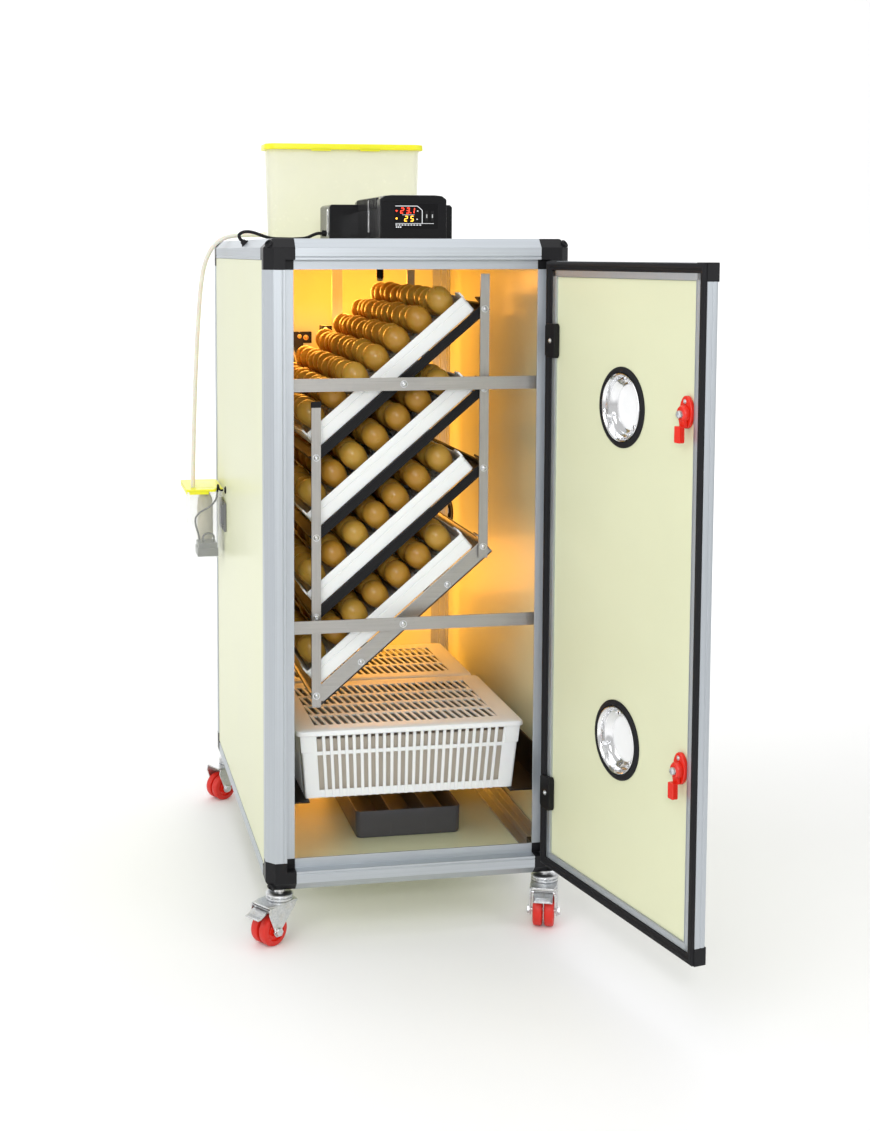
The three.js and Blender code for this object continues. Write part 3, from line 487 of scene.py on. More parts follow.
class Form:
    """A mesh in the making, in the axes of the placement it is finished with."""

    def __init__(self):
        self.mesh = bmesh.new()

    def slab(self, x, y, z):
        """A box between three pairs of limits."""
        corners = [(a, b, c) for a in x for b in y for c in z]
        verts = [self.mesh.verts.new(corner) for corner in corners]
        for face in ((0, 1, 3, 2), (4, 6, 7, 5), (0, 4, 5, 1), (2, 3, 7, 6), (0, 2, 6, 4), (1, 5, 7, 3)):
            self.mesh.faces.new([verts[i] for i in face])

    def prism(self, outline, spread, span):
        """An outline of (u, v) points that spread(u, v, s) places, closed between two values of s."""
        rings = [[self.mesh.verts.new(spread(u, v, s)) for u, v in outline] for s in span]
        self.skin(rings)
        for ring in (rings[0], rings[-1]):
            self.mesh.faces.new(ring)

    def skin(self, rings):
        for low, high in zip(rings, rings[1:]):
            for i, point in enumerate(low):
                j = (i + 1) % len(low)
                self.mesh.faces.new([point, low[j], high[j], high[i]])

    def loop_skin(self, outlines):
        """A closed skin through loops of points, the last joined to the first."""
        rings = [[self.mesh.verts.new(p) for p in loop] for loop in outlines]
        self.skin([*rings, rings[0]])

    def turned(self, profile, centre=(0, 0, 0), axis="Z", segments=32, turn=None):
        """A profile of (radius, along) points turned about an axis; its ends close on the axis."""
        spin = {"Z": lambda c, s, r, a: (r * c, r * s, a), "Y": lambda c, s, r, a: (r * c, a, r * s),
                "X": lambda c, s, r, a: (a, r * c, r * s)}[axis]
        made = []
        rings = []
        for radius, along in profile:
            if radius < 1e-6:
                ring = [self.mesh.verts.new(Vector(centre) + Vector(spin(1, 0, 0, along)))]
            else:
                ring = [self.mesh.verts.new(Vector(centre) + Vector(spin(math.cos(a), math.sin(a), radius,
                                                                         along)))
                        for a in angles(segments)]
            rings.append(ring)
            made += ring
        for low, high in zip(rings, rings[1:]):
            for i in range(segments):
                j = (i + 1) % segments
                if len(low) == 1 and len(high) > 1:
                    self.mesh.faces.new([low[0], high[i], high[j]])
                elif len(high) == 1 and len(low) > 1:
                    self.mesh.faces.new([low[i], low[j], high[0]])
                elif len(low) > 1:
                    self.mesh.faces.new([low[i], low[j], high[j], high[i]])
        if turn is not None:
            bmesh.ops.transform(self.mesh, matrix=turn, verts=made)

    def rod(self, start, end, radius, segments=20):
        along = Vector(end) - Vector(start)
        span = along.length
        self.turned([(0, 0), (radius, 0), (radius, span), (0, span)], segments=segments,
                    turn=aimed(start, along))

    def screw(self, at, facing, radius):
        """A pan-head screw with a recess, its washer against the face at that point."""
        profile = [(0, -0.001), (radius * 1.35, -0.001), (radius * 1.35, radius * 0.22),
                   (radius, radius * 0.24)]
        profile += [(radius * math.cos(a), radius * (0.24 + 0.62 * math.sin(a))) for a in (0.35, 0.75, 1.1)]
        profile += [(radius * 0.34, radius * 0.84), (radius * 0.28, radius * 0.45), (0, radius * 0.4)]
        self.turned(profile, segments=16, turn=aimed(at, facing))

    def tube(self, points, radius, segments=10):
        """A round bar through the points, with flat ends."""
        path = [Vector(p) for p in points]
        rings = []
        for i, point in enumerate(path):
            along = path[min(i + 1, len(path) - 1)] - path[max(i - 1, 0)]
            aim = along.to_track_quat("Z", "Y").to_matrix()
            rings.append([self.mesh.verts.new(point + aim @ Vector((radius * math.cos(a),
                                                                    radius * math.sin(a), 0)))
                          for a in angles(segments)])
        self.skin(rings)
        for ring in (rings[0], rings[-1]):
            self.mesh.faces.new(ring)

    def tub(self, outlines):
        """A closed shell skinned through loops of points, capped at its first and last loop."""
        rings = [[self.mesh.verts.new(p) for p in loop] for loop in outlines]
        self.skin(rings)
        for ring in (rings[-1], rings[0]):
            self.mesh.faces.new(ring)

    def to_object(self, name, material, place=Matrix.Identity(4)):
        """Makes the object: placed, faces turned outwards, and shaded smooth but for its sharp edges."""
        bmesh.ops.transform(self.mesh, matrix=place, verts=self.mesh.verts)
        bmesh.ops.recalc_face_normals(self.mesh, faces=self.mesh.faces)
        data = bpy.data.meshes.new(name)
        self.mesh.to_mesh(data)
        self.mesh.free()
        data.materials.append(material)
        data.shade_smooth()
        data.set_sharp_from_angle(angle=SHARP_ANGLE)
        return in_scene(name, data)

    def finish(self, name, material, body, place=CABINET, edge=0.0, steps=2, replaces=()):
        """Makes the piece: placed, shaded, rounded, and riding on its body."""
        piece = self.to_object(name, material, place)
        if edge:
            rounding = piece.modifiers.new("edges", "BEVEL")
            rounding.width = edge
            rounding.segments = steps
            rounding.limit_method = "ANGLE"
            rounding.angle_limit = ROUNDED_ANGLE
            rounding.harden_normals = True
        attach(piece, body)
        if replaces:
            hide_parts(*replaces)
        return piece


def rounded(x, y, radius, z, steps=5):
    """A closed loop at one height: a rectangle with round corners."""
    loop = []
    for cx, cy, start in ((x[1], y[1], 0), (x[0], y[1], 1), (x[0], y[0], 2), (x[1], y[0], 3)):
        sx = -1 if cx == x[1] else 1
        sy = -1 if cy == y[1] else 1
        for i in range(steps + 1):
            a = math.pi / 2 * (start + i / steps)
            loop.append((cx + sx * radius + radius * math.cos(a), cy + sy * radius + radius * math.sin(a),
                         z))
    return loop


def inset(limits, amount):
    return limits[0] + amount, limits[1] - amount


def dress(node, material):
    """Gives a CAD node its finish; its mesh stays as it is."""
    slots = NODES[node].data.materials
    slots.clear()
    slots.append(material)


def curve_cord(name, points, radius, material, replaces):
    """A free cord along the same route as its CAD solid, from its first point back into the object."""
    data = bpy.data.curves.new(name, "CURVE")
    data.dimensions = "3D"
    data.bevel_depth = radius
    data.bevel_resolution = 4
    data.use_fill_caps = True
    spline = data.splines.new("POLY")
    smooth = spaced_curve([CABINET @ Vector(p) for p in points])
    spline.points.add(len(smooth) - 1)
    for target, point in zip(spline.points, smooth):
        target.co = (*point, 1)
    spline.use_smooth = True
    data.materials.append(material)
    cord = in_scene(name, data)
    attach(cord, "cabinet")
    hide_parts(replaces)
    path_length(smooth)


def path_length(points):
    return sum((b - a).length for a, b in zip(points, points[1:]))


def spaced_curve(points, between=6):
    """Centripetal Catmull-Rom through the points."""
    path = [points[0] * 2 - points[1], *points, points[-1] * 2 - points[-2]]
    out = []
    for p0, p1, p2, p3 in zip(path, path[1:], path[2:], path[3:]):
        t1 = (p1 - p0).length ** 0.5
        t2 = t1 + (p2 - p1).length ** 0.5
        t3 = t2 + (p3 - p2).length ** 0.5
        for i in range(between):
            t = t1 + (t2 - t1) * i / between
            a1 = p0 * ((t1 - t) / t1) + p1 * (t / t1)
            a2 = p1 * ((t2 - t) / (t2 - t1)) + p2 * ((t - t1) / (t2 - t1))
            a3 = p2 * ((t3 - t) / (t3 - t2)) + p3 * ((t - t2) / (t3 - t2))
            b1 = a1 * ((t2 - t) / t2) + a2 * (t / t2)
            b2 = a2 * ((t3 - t) / (t3 - t1)) + a3 * ((t - t1) / (t3 - t1))
            out.append(b1 * ((t2 - t) / (t2 - t1)) + b2 * ((t - t1) / (t2 - t1)))
    out.append(points[-1])
    return out


# ---------------------------------------------------------------- stage
CAMERA_PLACE = Vector((-0.6140, -2.6395, 1.0791))   # in the cabinet's axes
CAMERA_YAW = 0.1782
CAMERA_PITCH = 0.0876
CAMERA_LENS = 51.87
CAMERA_SHIFT = (0.0860, -0.1513)


def area_light(name, place, target, size, power, tint=(1, 1, 1)):
    data = bpy.data.lights.new(name, "AREA")
    data.shape = "RECTANGLE"
    data.size, data.size_y = size
    data.energy = power
    data.color = tint
    light = in_scene(name, data)
    light.location = CORNER + Vector(place)
    light.rotation_euler = (Vector(target) - Vector(place)).to_track_quat("-Z", "Y").to_euler()


SWEEP_Y = 4.2
SWEEP_BEND = 2.4
SWEEP_STEPS = 16
SWEEP_NEAR = -9
SWEEP_TOP = 9
SWEEP_THICK = 0.1
SWEEP_SIDES = (-12, 12)
WORLD_STRENGTH = 0.62
STUDIO_LIGHTS = {
    "key": ((-1.9, -2.4, 2.9), (0, 0.2, 0.6), (2.4, 2.4), 40),
    "flash": ((-0.45, -2.75, 1.45), (0.1, 0.3, 0.55), (0.30, 0.30), 17),
    "backdrop": ((0.8, 2.6, 3.4), (0.8, 6.4, 0.9), (7, 2), 150),
    "fill": ((2.6, -2.2, 1.8), (0.1, 0.0, 0.5), (2.4, 2.4), 20),
    "top": ((0, 0.6, 3.6), (0, 0.3, 0), (3, 3), 26),
    "left": ((-3.2, 0.6, 1.4), (0, 0.4, 0.6), (2, 2), 14),
    "back": ((0.4, 3.4, 2.2), (0, 0.4, 0.8), (2.5, 2), 14),
}
CABINET_LAMPS = {
    "lamp_wall": ((0.0, 0.645, 0.63), (0.0, 1.0, 0.63), (0.42, 0.86), 2.6),
    "lamp_high": ((-0.03, 0.742, 0.99), (-0.06, 0.30, 0.80), (0.30, 0.10), 1.6),
    "lamp_floor": ((-0.06, 0.75, 0.095), (0.0, 0.2, 0.02), (0.34, 0.05), 0.8),
    "lamp_low": ((0.02, 0.76, 0.40), (-0.05, 0.30, 0.46), (0.36, 0.12), 0.7),
}


class IncubatorStage(bpy.types.Operator):
    """Makes the camera, the floor and the lights"""
    bl_idname = "incubator.stage"
    bl_label = "Stage"

    def execute(self, context):
        data = bpy.data.cameras.new("camera")
        data.lens = CAMERA_LENS
        data.shift_x, data.shift_y = CAMERA_SHIFT
        camera = in_scene("camera", data)
        camera.location = CORNER + CAMERA_PLACE
        level = math.cos(CAMERA_PITCH)
        aim = Vector((math.sin(CAMERA_YAW) * level, math.cos(CAMERA_YAW) * level, -math.sin(CAMERA_PITCH)))
        camera.rotation_euler = aim.to_track_quat("-Z", "Y").to_euler()
        context.scene.camera = camera

        bend = [math.pi / 2 * i / SWEEP_STEPS for i in range(SWEEP_STEPS + 1)]
        back = SWEEP_Y + SWEEP_BEND
        sweep = [(SWEEP_NEAR, 0)]
        sweep += [(SWEEP_Y + SWEEP_BEND * math.sin(a), SWEEP_BEND * (1 - math.cos(a))) for a in bend]
        sweep += [(back, SWEEP_TOP), (back + SWEEP_THICK, SWEEP_TOP), (back + SWEEP_THICK, -SWEEP_THICK),
                  (SWEEP_NEAR, -SWEEP_THICK)]
        form = Form()
        form.prism(sweep, along_x, SWEEP_SIDES)
        form.to_object("floor", finish_of(floor_finish))

        for name, facts in STUDIO_LIGHTS.items():
            area_light(name, *facts)
        for name, facts in CABINET_LAMPS.items():
            area_light(name, *facts, tuple(colours().glow))
        world = bpy.data.worlds.new("studio")
        world.use_nodes = True
        background = world.node_tree.nodes["Background"].inputs
        background["Color"].default_value = (1, 1, 1, 1)
        background["Strength"].default_value = WORLD_STRENGTH
        context.scene.world = world
        context.scene.view_settings.view_transform = "Standard"
        return {"FINISHED"}


# ---------------------------------------------------------------- cords
HOSE_ROUTE = [
    (-0.1763, 0.650, 1.1120), (-0.2030, 0.650, 1.1120), (-0.2160, 0.650, 1.1115), (-0.2310, 0.650, 1.1105),
    (-0.2460, 0.650, 1.1080), (-0.2590, 0.650, 1.1030), (-0.2710, 0.650, 1.0945), (-0.2810, 0.650, 1.0820),
    (-0.2900, 0.650, 1.0640), (-0.2970, 0.650, 1.0400), (-0.3020, 0.650, 1.0080), (-0.3060, 0.650, 0.9650),
    (-0.3100, 0.650, 0.9050), (-0.3140, 0.650, 0.8300), (-0.3175, 0.650, 0.7400), (-0.3200, 0.650, 0.6600),
    (-0.3210, 0.650, 0.6003),
]
PUMP_CABLE_ROUTE = [
    (-0.3090, 0.6450, 0.4923), (-0.3105, 0.6440, 0.5020), (-0.3140, 0.6410, 0.5140),
    (-0.3175, 0.6370, 0.5280),
    (-0.3170, 0.6335, 0.5410), (-0.3090, 0.6320, 0.5510), (-0.2970, 0.6315, 0.5580),
    (-0.2850, 0.6310, 0.5660),
    (-0.2765, 0.6310, 0.5770), (-0.2735, 0.6310, 0.5900), (-0.2730, 0.6295, 0.6000),
    (-0.2730, 0.6220, 0.6075),
    (-0.2730, 0.6130, 0.6065), (-0.2720, 0.6086, 0.6015), (-0.2690, 0.6080, 0.5992),
    (-0.2638, 0.6080, 0.5990),
]
SUPPLY_ROUTE = [
    (-0.1063, 0.3500, 1.1120), (-0.1130, 0.3500, 1.1120), (-0.1220, 0.3495, 1.1090),
    (-0.1340, 0.3470, 1.1040),
    (-0.1550, 0.3400, 1.1018), (-0.1800, 0.3310, 1.1018), (-0.2020, 0.3230, 1.1026),
    (-0.2200, 0.3180, 1.1070),
    (-0.2340, 0.3156, 1.1120), (-0.2460, 0.3150, 1.1145), (-0.2570, 0.3150, 1.1135),
    (-0.2635, 0.3150, 1.1085),
    (-0.2624, 0.3150, 1.1024), (-0.2584, 0.3150, 1.0984),
]


class IncubatorCords(bpy.types.Operator):
    """Makes the water hose and the two cables"""
    bl_idname = "incubator.cords"
    bl_label = "Cords"

    def execute(self, context):
        black = finish_of(rubber)
        curve_cord("hose", HOSE_ROUTE, 0.00425, finish_of(hose_plastic), "water_hose")
        curve_cord("pump_lead", PUMP_CABLE_ROUTE, 0.002, black, "pump_cable")
        curve_cord("supply_lead", SUPPLY_ROUTE, 0.003, black, "supply_cable")
        return {"FINISHED"}


# ---------------------------------------------------------------- frame and panels
def section():
    """The extrusion's outline from its outer corner: chamfered tube, two fins, small grooves."""
    g = 0.0008
    end = TUBE + 0.016
    return [
        (CHAMFER, 0), (TUBE - 0.006, 0), (TUBE - 0.0055, g), (TUBE - 0.0045, g), (TUBE - 0.004, 0),
        (TUBE, 0),
        (TUBE, REBATE), (end, REBATE), (end, REBATE + FIN), (TUBE, REBATE + FIN), (TUBE, TUBE),
        (REBATE + FIN, TUBE), (REBATE + FIN, end), (REBATE, end), (REBATE, TUBE), (0, TUBE),
        (0, TUBE - 0.004), (g, TUBE - 0.0045), (g, TUBE - 0.0055), (0, TUBE - 0.006), (0, CHAMFER),
    ]


def corner_axes(side, back, top):
    """A placement at a corner of the frame whose axes all lead inwards."""
    at = Vector((side * WIDTH / 2, DEPTH if back else 0, HEIGHT if top else 0))
    return CABINET @ Matrix.Translation(at) @ Matrix.Diagonal((-side, -1 if back else 1, -1 if top else 1,
                                                               1))


ENDS = ((False, "front"), (True, "rear"))
HANDS = ((-1, "left"), (1, "right"))
LEVELS = ((False, "bottom"), (True, "top"))


def extrusion(name, place, spread, span, axis, node):
    form = Form()
    form.prism(section(), spread, span)
    form.finish(name, finish_of(aluminium, "anodised_" + axis.lower(), axis), "cabinet", place,
                0.0006, 2, replaces=(node,))


class IncubatorFrame(bpy.types.Operator):
    """Makes the aluminium extrusions and their black corner blocks"""
    bl_idname = "incubator.frame"
    bl_label = "Frame"

    def execute(self, context):
        upright = (BLOCK, HEIGHT - BLOCK)
        crossways = (BLOCK, WIDTH - BLOCK)
        endways = (BLOCK, DEPTH - BLOCK)
        for back, end in ENDS:
            node = end + "_frame"
            for side, hand in HANDS:
                extrusion("post_%s_%s" % (end, hand), corner_axes(side, back, False), along_z, upright, "Z",
                          node)
            for top, level in LEVELS:
                extrusion("rail_%s_%s" % (end, level), corner_axes(-1, back, top), along_x, crossways, "X",
                          node)
        for side, hand in HANDS:
            for top, level in LEVELS:
                extrusion("rail_%s_%s" % (hand, level), corner_axes(side, False, top), along_y, endways,
                          "Y",
                          "rear_frame")
        for back, end in ENDS:
            for side, hand in HANDS:
                for top, level in LEVELS:
                    self.corner("corner_%s_%s_%s" % (end, hand, level), corner_axes(side, back, top),
                                end + "_frame")
        self.gland()
        return {"FINISHED"}

    @staticmethod
    def corner(name, place, node):
        """A block with chamfered outer edges, rebated where the panels come in."""
        r, t = REBATE, TUBE
        form = Form()
        chamfer_block(form, BLOCK + 0.0002, CHAMFER, 0.009)
        for low, high in (((t, -1, t), (1, r, 1)), ((-1, t, t), (r, 1, 1)), ((t, t, -1), (1, 1, r))):
            cut_box(form, low, high)
        seat = CHAMFER * 0.62
        form.turned([(0, 0), (0.0075, 0), (0.0075, 0.0025), (0.006, 0.004), (0.0035, 0.004), (0.003, 0.001),
                     (0, 0.001)],
                    turn=aimed((seat, seat, seat), (-1, -1, -1)), segments=24)
        form.finish(name, finish_of(black_plastic), "cabinet", place, 0.0012, 3, replaces=(node,))

    @staticmethod
    def gland():
        form = Form()
        aim = aimed((-WIDTH / 2 + CHAMFER / 2, 0.315, HEIGHT - CHAMFER / 2), (-1, 0, 1))
        form.turned([(0, -0.002), (0.0075, -0.002), (0.0075, 0.002), (0.0055, 0.0026), (0.0053, 0.006),
                     (0.0042, 0.0079), (0, 0.0079)], turn=aim, segments=24)
        form.finish("supply_gland", finish_of(rubber), "cabinet", edge=0.0003)


def chamfer_block(form, b, c, tip):
    """Adds a cube from the origin, its three edges and its corner at the origin cut off."""
    mesh = form.mesh
    bmesh.ops.create_cube(mesh, size=b)
    bmesh.ops.translate(mesh, verts=mesh.verts, vec=(b / 2, b / 2, b / 2))
    planes = [((c, 0, 0), (-1, -1, 0)), ((0, c, 0), (0, -1, -1)), ((c, 0, 0), (-1, 0, -1)),
              ((c + tip, 0, 0), (-1, -1, -1))]
    for point, normal in planes:
        made = bmesh.ops.bisect_plane(mesh, geom=mesh.verts[:] + mesh.edges[:] + mesh.faces[:],
                                      plane_co=point,
                                      plane_no=normal, clear_outer=True)
        edges = [g for g in made["geom_cut"] if isinstance(g, bmesh.types.BMEdge)]
        bmesh.ops.edgeloop_fill(mesh, edges=edges)


def cut_box(form, low, high):
    """Cuts a box out of the form's mesh with an exact boolean."""
    data = bpy.data.meshes.new("cut")
    form.mesh.to_mesh(data)
    target = in_scene("cut_target", data)
    cutter_form = Form()
    cutter_form.slab((low[0], high[0]), (low[1], high[1]), (low[2], high[2]))
    bmesh.ops.recalc_face_normals(cutter_form.mesh, faces=cutter_form.mesh.faces)
    cutter_data = bpy.data.meshes.new("cutter")
    cutter_form.mesh.to_mesh(cutter_data)
    cutter_form.mesh.free()
    cutter = in_scene("cutter", cutter_data)
    modifier = target.modifiers.new("cut", "BOOLEAN")
    modifier.operation = "DIFFERENCE"
    modifier.object = cutter
    modifier.solver = "EXACT"
    bpy.context.view_layer.update()
    result = target.evaluated_get(bpy.context.evaluated_depsgraph_get()).to_mesh()
    form.mesh.free()
    form.mesh = bmesh.new()
    form.mesh.from_mesh(result)
    for made in (target, cutter):
        bpy.data.objects.remove(made)


class IncubatorPanels(bpy.types.Operator):
    """Finishes the panels, and makes the vent ring and the glands in them"""
    bl_idname = "incubator.panels"
    bl_label = "Panels"

    def execute(self, context):
        for node in ("panel_left", "panel_right", "panel_rear", "panel_top"):
            dress(node, finish_of(laminate))
        # The floor is the same cream laminate painted 12 per cent lighter: painted light for the warm glow
        # on the cabinet floor.
        dress("panel_floor", finish_of(laminate, "floor_laminate", 1.12))
        low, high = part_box("panel_right")
        form = Form()
        for x, out in ((high.x, 1), (low.x, -1)):
            centre = (x, 0.735 + CORNER.y, 0.521 + CORNER.z)
            form.turned([(0.0150, -0.006 * out), (0.0150, 0.0015 * out), (0.0165, 0.0030 * out),
                         (0.0225, 0.0026 * out), (0.0240, 0.0004 * out), (0.0240, -0.0002 * out),
                         (0.0170, -0.0002 * out), (0.0168, -0.006 * out), (0.0150, -0.006 * out)], centre,
                         "X", 40)
        form.finish("vent_rings", finish_of(black_plastic), "cabinet", Matrix.Identity(4))
        form = Form()
        form.turned([(0, -0.001), (0.0075, -0.001), (0.0075, 0.0018), (0.0052, 0.0024), (0.0048, 0.0046),
                     (0, 0.0047)],
                    turn=aimed((-0.2585, 0.608, 0.599), (-1, 0, 0)), segments=24)
        form.finish("pump_gland", finish_of(rubber), "cabinet", edge=0.0003)
        form = Form()
        form.turned([(0, 1.0225), (0.004, 1.0226), (0.0062, 1.0245), (0.0066, 1.030), (0.0066, 1.052),
                     (0.0060, 1.0525),
                     (0.0060, 1.056), (0.0067, 1.0565), (0.0067, 1.0815), (0.0, 1.0815)], (0.015, 0.400, 0),
                     "Z", 28)
        for i in range(4):
            form.turned([(0.0068, 1.030 + 0.005 * i), (0.0072, 1.0315 + 0.005 * i),
                         (0.0068, 1.033 + 0.005 * i)],
                        (0.015, 0.400, 0), "Z", 28)
        form.finish("probe_sleeve", finish_of(black_plastic), "cabinet", edge=0.0002)
        return {"FINISHED"}


# ---------------------------------------------------------------- door
WINDOWS = {"lower": 0.314, "upper": 0.839}
WINDOW_X = -0.0025
LATCHES = {"lower": 0.320, "upper": 0.846}
LATCH_X = -0.180
HINGES = {"lower": 0.166, "upper": 0.932}


class IncubatorDoor(bpy.types.Operator):
    """Makes the door's edging, corners, gasket and panel finish"""
    bl_idname = "incubator.door"
    bl_label = "Door"

    def execute(self, context):
        dress("door_panel", finish_of(laminate))
        width = 0.026
        y = (DOOR_FRONT, DOOR_BACK)
        outline = [(0, y[0] + 0.004), (0.0012, y[0] + 0.0012), (0.004, y[0]), (width - 0.003, y[0]),
                   (width, y[0] + 0.002),
                   (width, -0.0049), (0.017, -0.0049), (0.017, 0.0088), (width, 0.0088),
                   (width, y[1] - 0.001),
                   (width - 0.001, y[1]), (0.0005, y[1]), (0, y[1] - 0.0005), (0, 0.003), (0.0007, 0.0026),
                   (0.0007, 0.0014),
                   (0, 0.001)]
        cap = 0.012
        span = (DOOR_LOW + cap, DOOR_HIGH - cap)
        for hand, side in (("hinge", 1), ("latch", -1)):
            form = Form()
            form.prism(outline, lambda u, v, s: (side * (DOOR_HALF - u), v, s), span)
            form.finish("door_edge_" + hand, finish_of(aluminium, "anodised_z", "Z"), "door", DOOR, 0.0004,
                        1,
                        replaces=("door_frame",))
        for level, z, up in (("bottom", DOOR_LOW, 1), ("top", DOOR_HIGH, -1)):
            form = Form()
            form.prism(outline, lambda u, v, s: (s, v, z + up * u), (-DOOR_HALF + cap, DOOR_HALF - cap))
            form.finish("door_edge_" + level, finish_of(aluminium, "anodised_x", "X"), "door", DOOR, 0.0004,
                        1,
                        replaces=("door_frame",))
        form = Form()
        for side in (-1, 1):
            for z, up in ((DOOR_LOW, 1), (DOOR_HIGH, -1)):
                x = sorted((side * (DOOR_HALF + 0.0004), side * (DOOR_HALF - cap)))
                form.slab(x, (y[0] - 0.0004, y[1] + 0.0004), sorted((z - up * 0.0004, z + up * 0.027)))
                x = sorted((side * (DOOR_HALF - cap), side * (DOOR_HALF - 0.027)))
                form.slab(x, (y[0] - 0.0004, y[1] + 0.0004), sorted((z - up * 0.0004, z + up * cap)))
        form.finish("door_corners", finish_of(black_plastic), "door", DOOR, 0.0012, 3,
                    replaces=("door_frame",))
        self.gasket()
        return {"FINISHED"}

    @staticmethod
    def gasket():
        """A bulb seal round the door, mitred, with a flat foot and a raised lip."""
        profile = [(0, 0), (0, 0.0035), (0.0015, 0.0052), (0.0040, 0.0060), (0.0065, 0.0054),
                   (0.0080, 0.0040),
                   (0.0095, 0.0026), (0.0135, 0.0020), (0.0140, 0.0008), (0.0140, 0)]
        outer = 0.001
        form = Form()
        loops = []
        for u, v in profile:
            x = DOOR_HALF - outer - u
            z = (DOOR_LOW + outer + u, DOOR_HIGH - outer - u)
            loops.append([(-x, DOOR_BACK + v, z[0]), (x, DOOR_BACK + v, z[0]), (x, DOOR_BACK + v, z[1]),
                          (-x, DOOR_BACK + v, z[1])])
        form.loop_skin(loops)
        form.finish("door_gasket", finish_of(rubber), "door", DOOR,
                    replaces=("door_frame",))
        strip = Form()
        for side in (-1, 1):
            strip.slab(sorted((side * (DOOR_HALF - 0.026), side * (DOOR_HALF - 0.0275))), (0.0087, 0.0118),
                       (DOOR_LOW + 0.026, DOOR_HIGH - 0.026))
        strip.finish("door_trim", finish_of(aluminium, "anodised_z", "Z"), "door", DOOR)


class IncubatorWindows(bpy.types.Operator):
    """Makes the two round windows of the door"""
    bl_idname = "incubator.windows"
    bl_label = "Windows"

    def execute(self, context):
        for name, z in WINDOWS.items():
            centre = (WINDOW_X, 0, z)
            form = Form()
            for face, out in ((0.009, 1), (-0.005, -1)):
                form.turned([(0.0530, face - 0.006 * out), (0.0530, face + 0.0015 * out),
                             (0.0545, face + 0.0036 * out),
                             (0.0575, face + 0.0040 * out), (0.0610, face + 0.0030 * out),
                             (0.0630, face + 0.0010 * out),
                             (0.0630, face), (0.0585, face), (0.0585, face - 0.006 * out),
                             (0.0530, face - 0.006 * out)], centre, "Y", 64)
            form.finish("window_ring_" + name, finish_of(rubber), "door", DOOR,
                        replaces=("window_" + name,))
            form = Form()
            form.turned([(0.0530, 0.0125), (0.0516, 0.0128), (0.0495, 0.0112), (0.0484, 0.0085),
                         (0.0470, 0.0020),
                         (0.0440, 0.0004), (0.0425, -0.0010), (0.0390, -0.0052), (0.0362, -0.0060),
                         (0.0350, -0.0070),
                         (0.0360, -0.0082), (0.0525, -0.0086), (0.0530, -0.0060), (0.0440, -0.0056),
                         (0.0500, 0.0040),
                         (0.0515, 0.0100), (0.0530, 0.0112), (0.0530, 0.0125)], centre, "Y", 72)
            for i in range(3):
                a = math.radians(90 + 120 * i + 8)
                spread = 0.0452
                boss = (WINDOW_X + spread * math.cos(a), 0, z + spread * math.sin(a))
                form.turned([(0, -0.001), (0.0036, -0.001), (0.0036, 0.0098), (0.0020, 0.0105),
                             (0.0018, 0.0070), (0, 0.0070)],
                            boss, "Y", 20)
                arm = (WINDOW_X + 0.0385 * math.cos(a), 0.0010, z + 0.0385 * math.sin(a))
                form.rod((boss[0], 0.0030, boss[2]), arm, 0.0016, 12)
            form.finish("window_cup_" + name, finish_of(chrome), "door", DOOR)
            form = Form()
            form.turned([(0, -0.0076), (0.0362, -0.0076), (0.0362, -0.0056), (0, -0.0056)], centre, "Y", 64)
            form.finish("window_pane_" + name,
                        finish_of(milky, "window_pane", (0.93, 0.94, 0.95), 0.42, 0.04), "door", DOOR,
                        edge=0.0003)
        return {"FINISHED"}


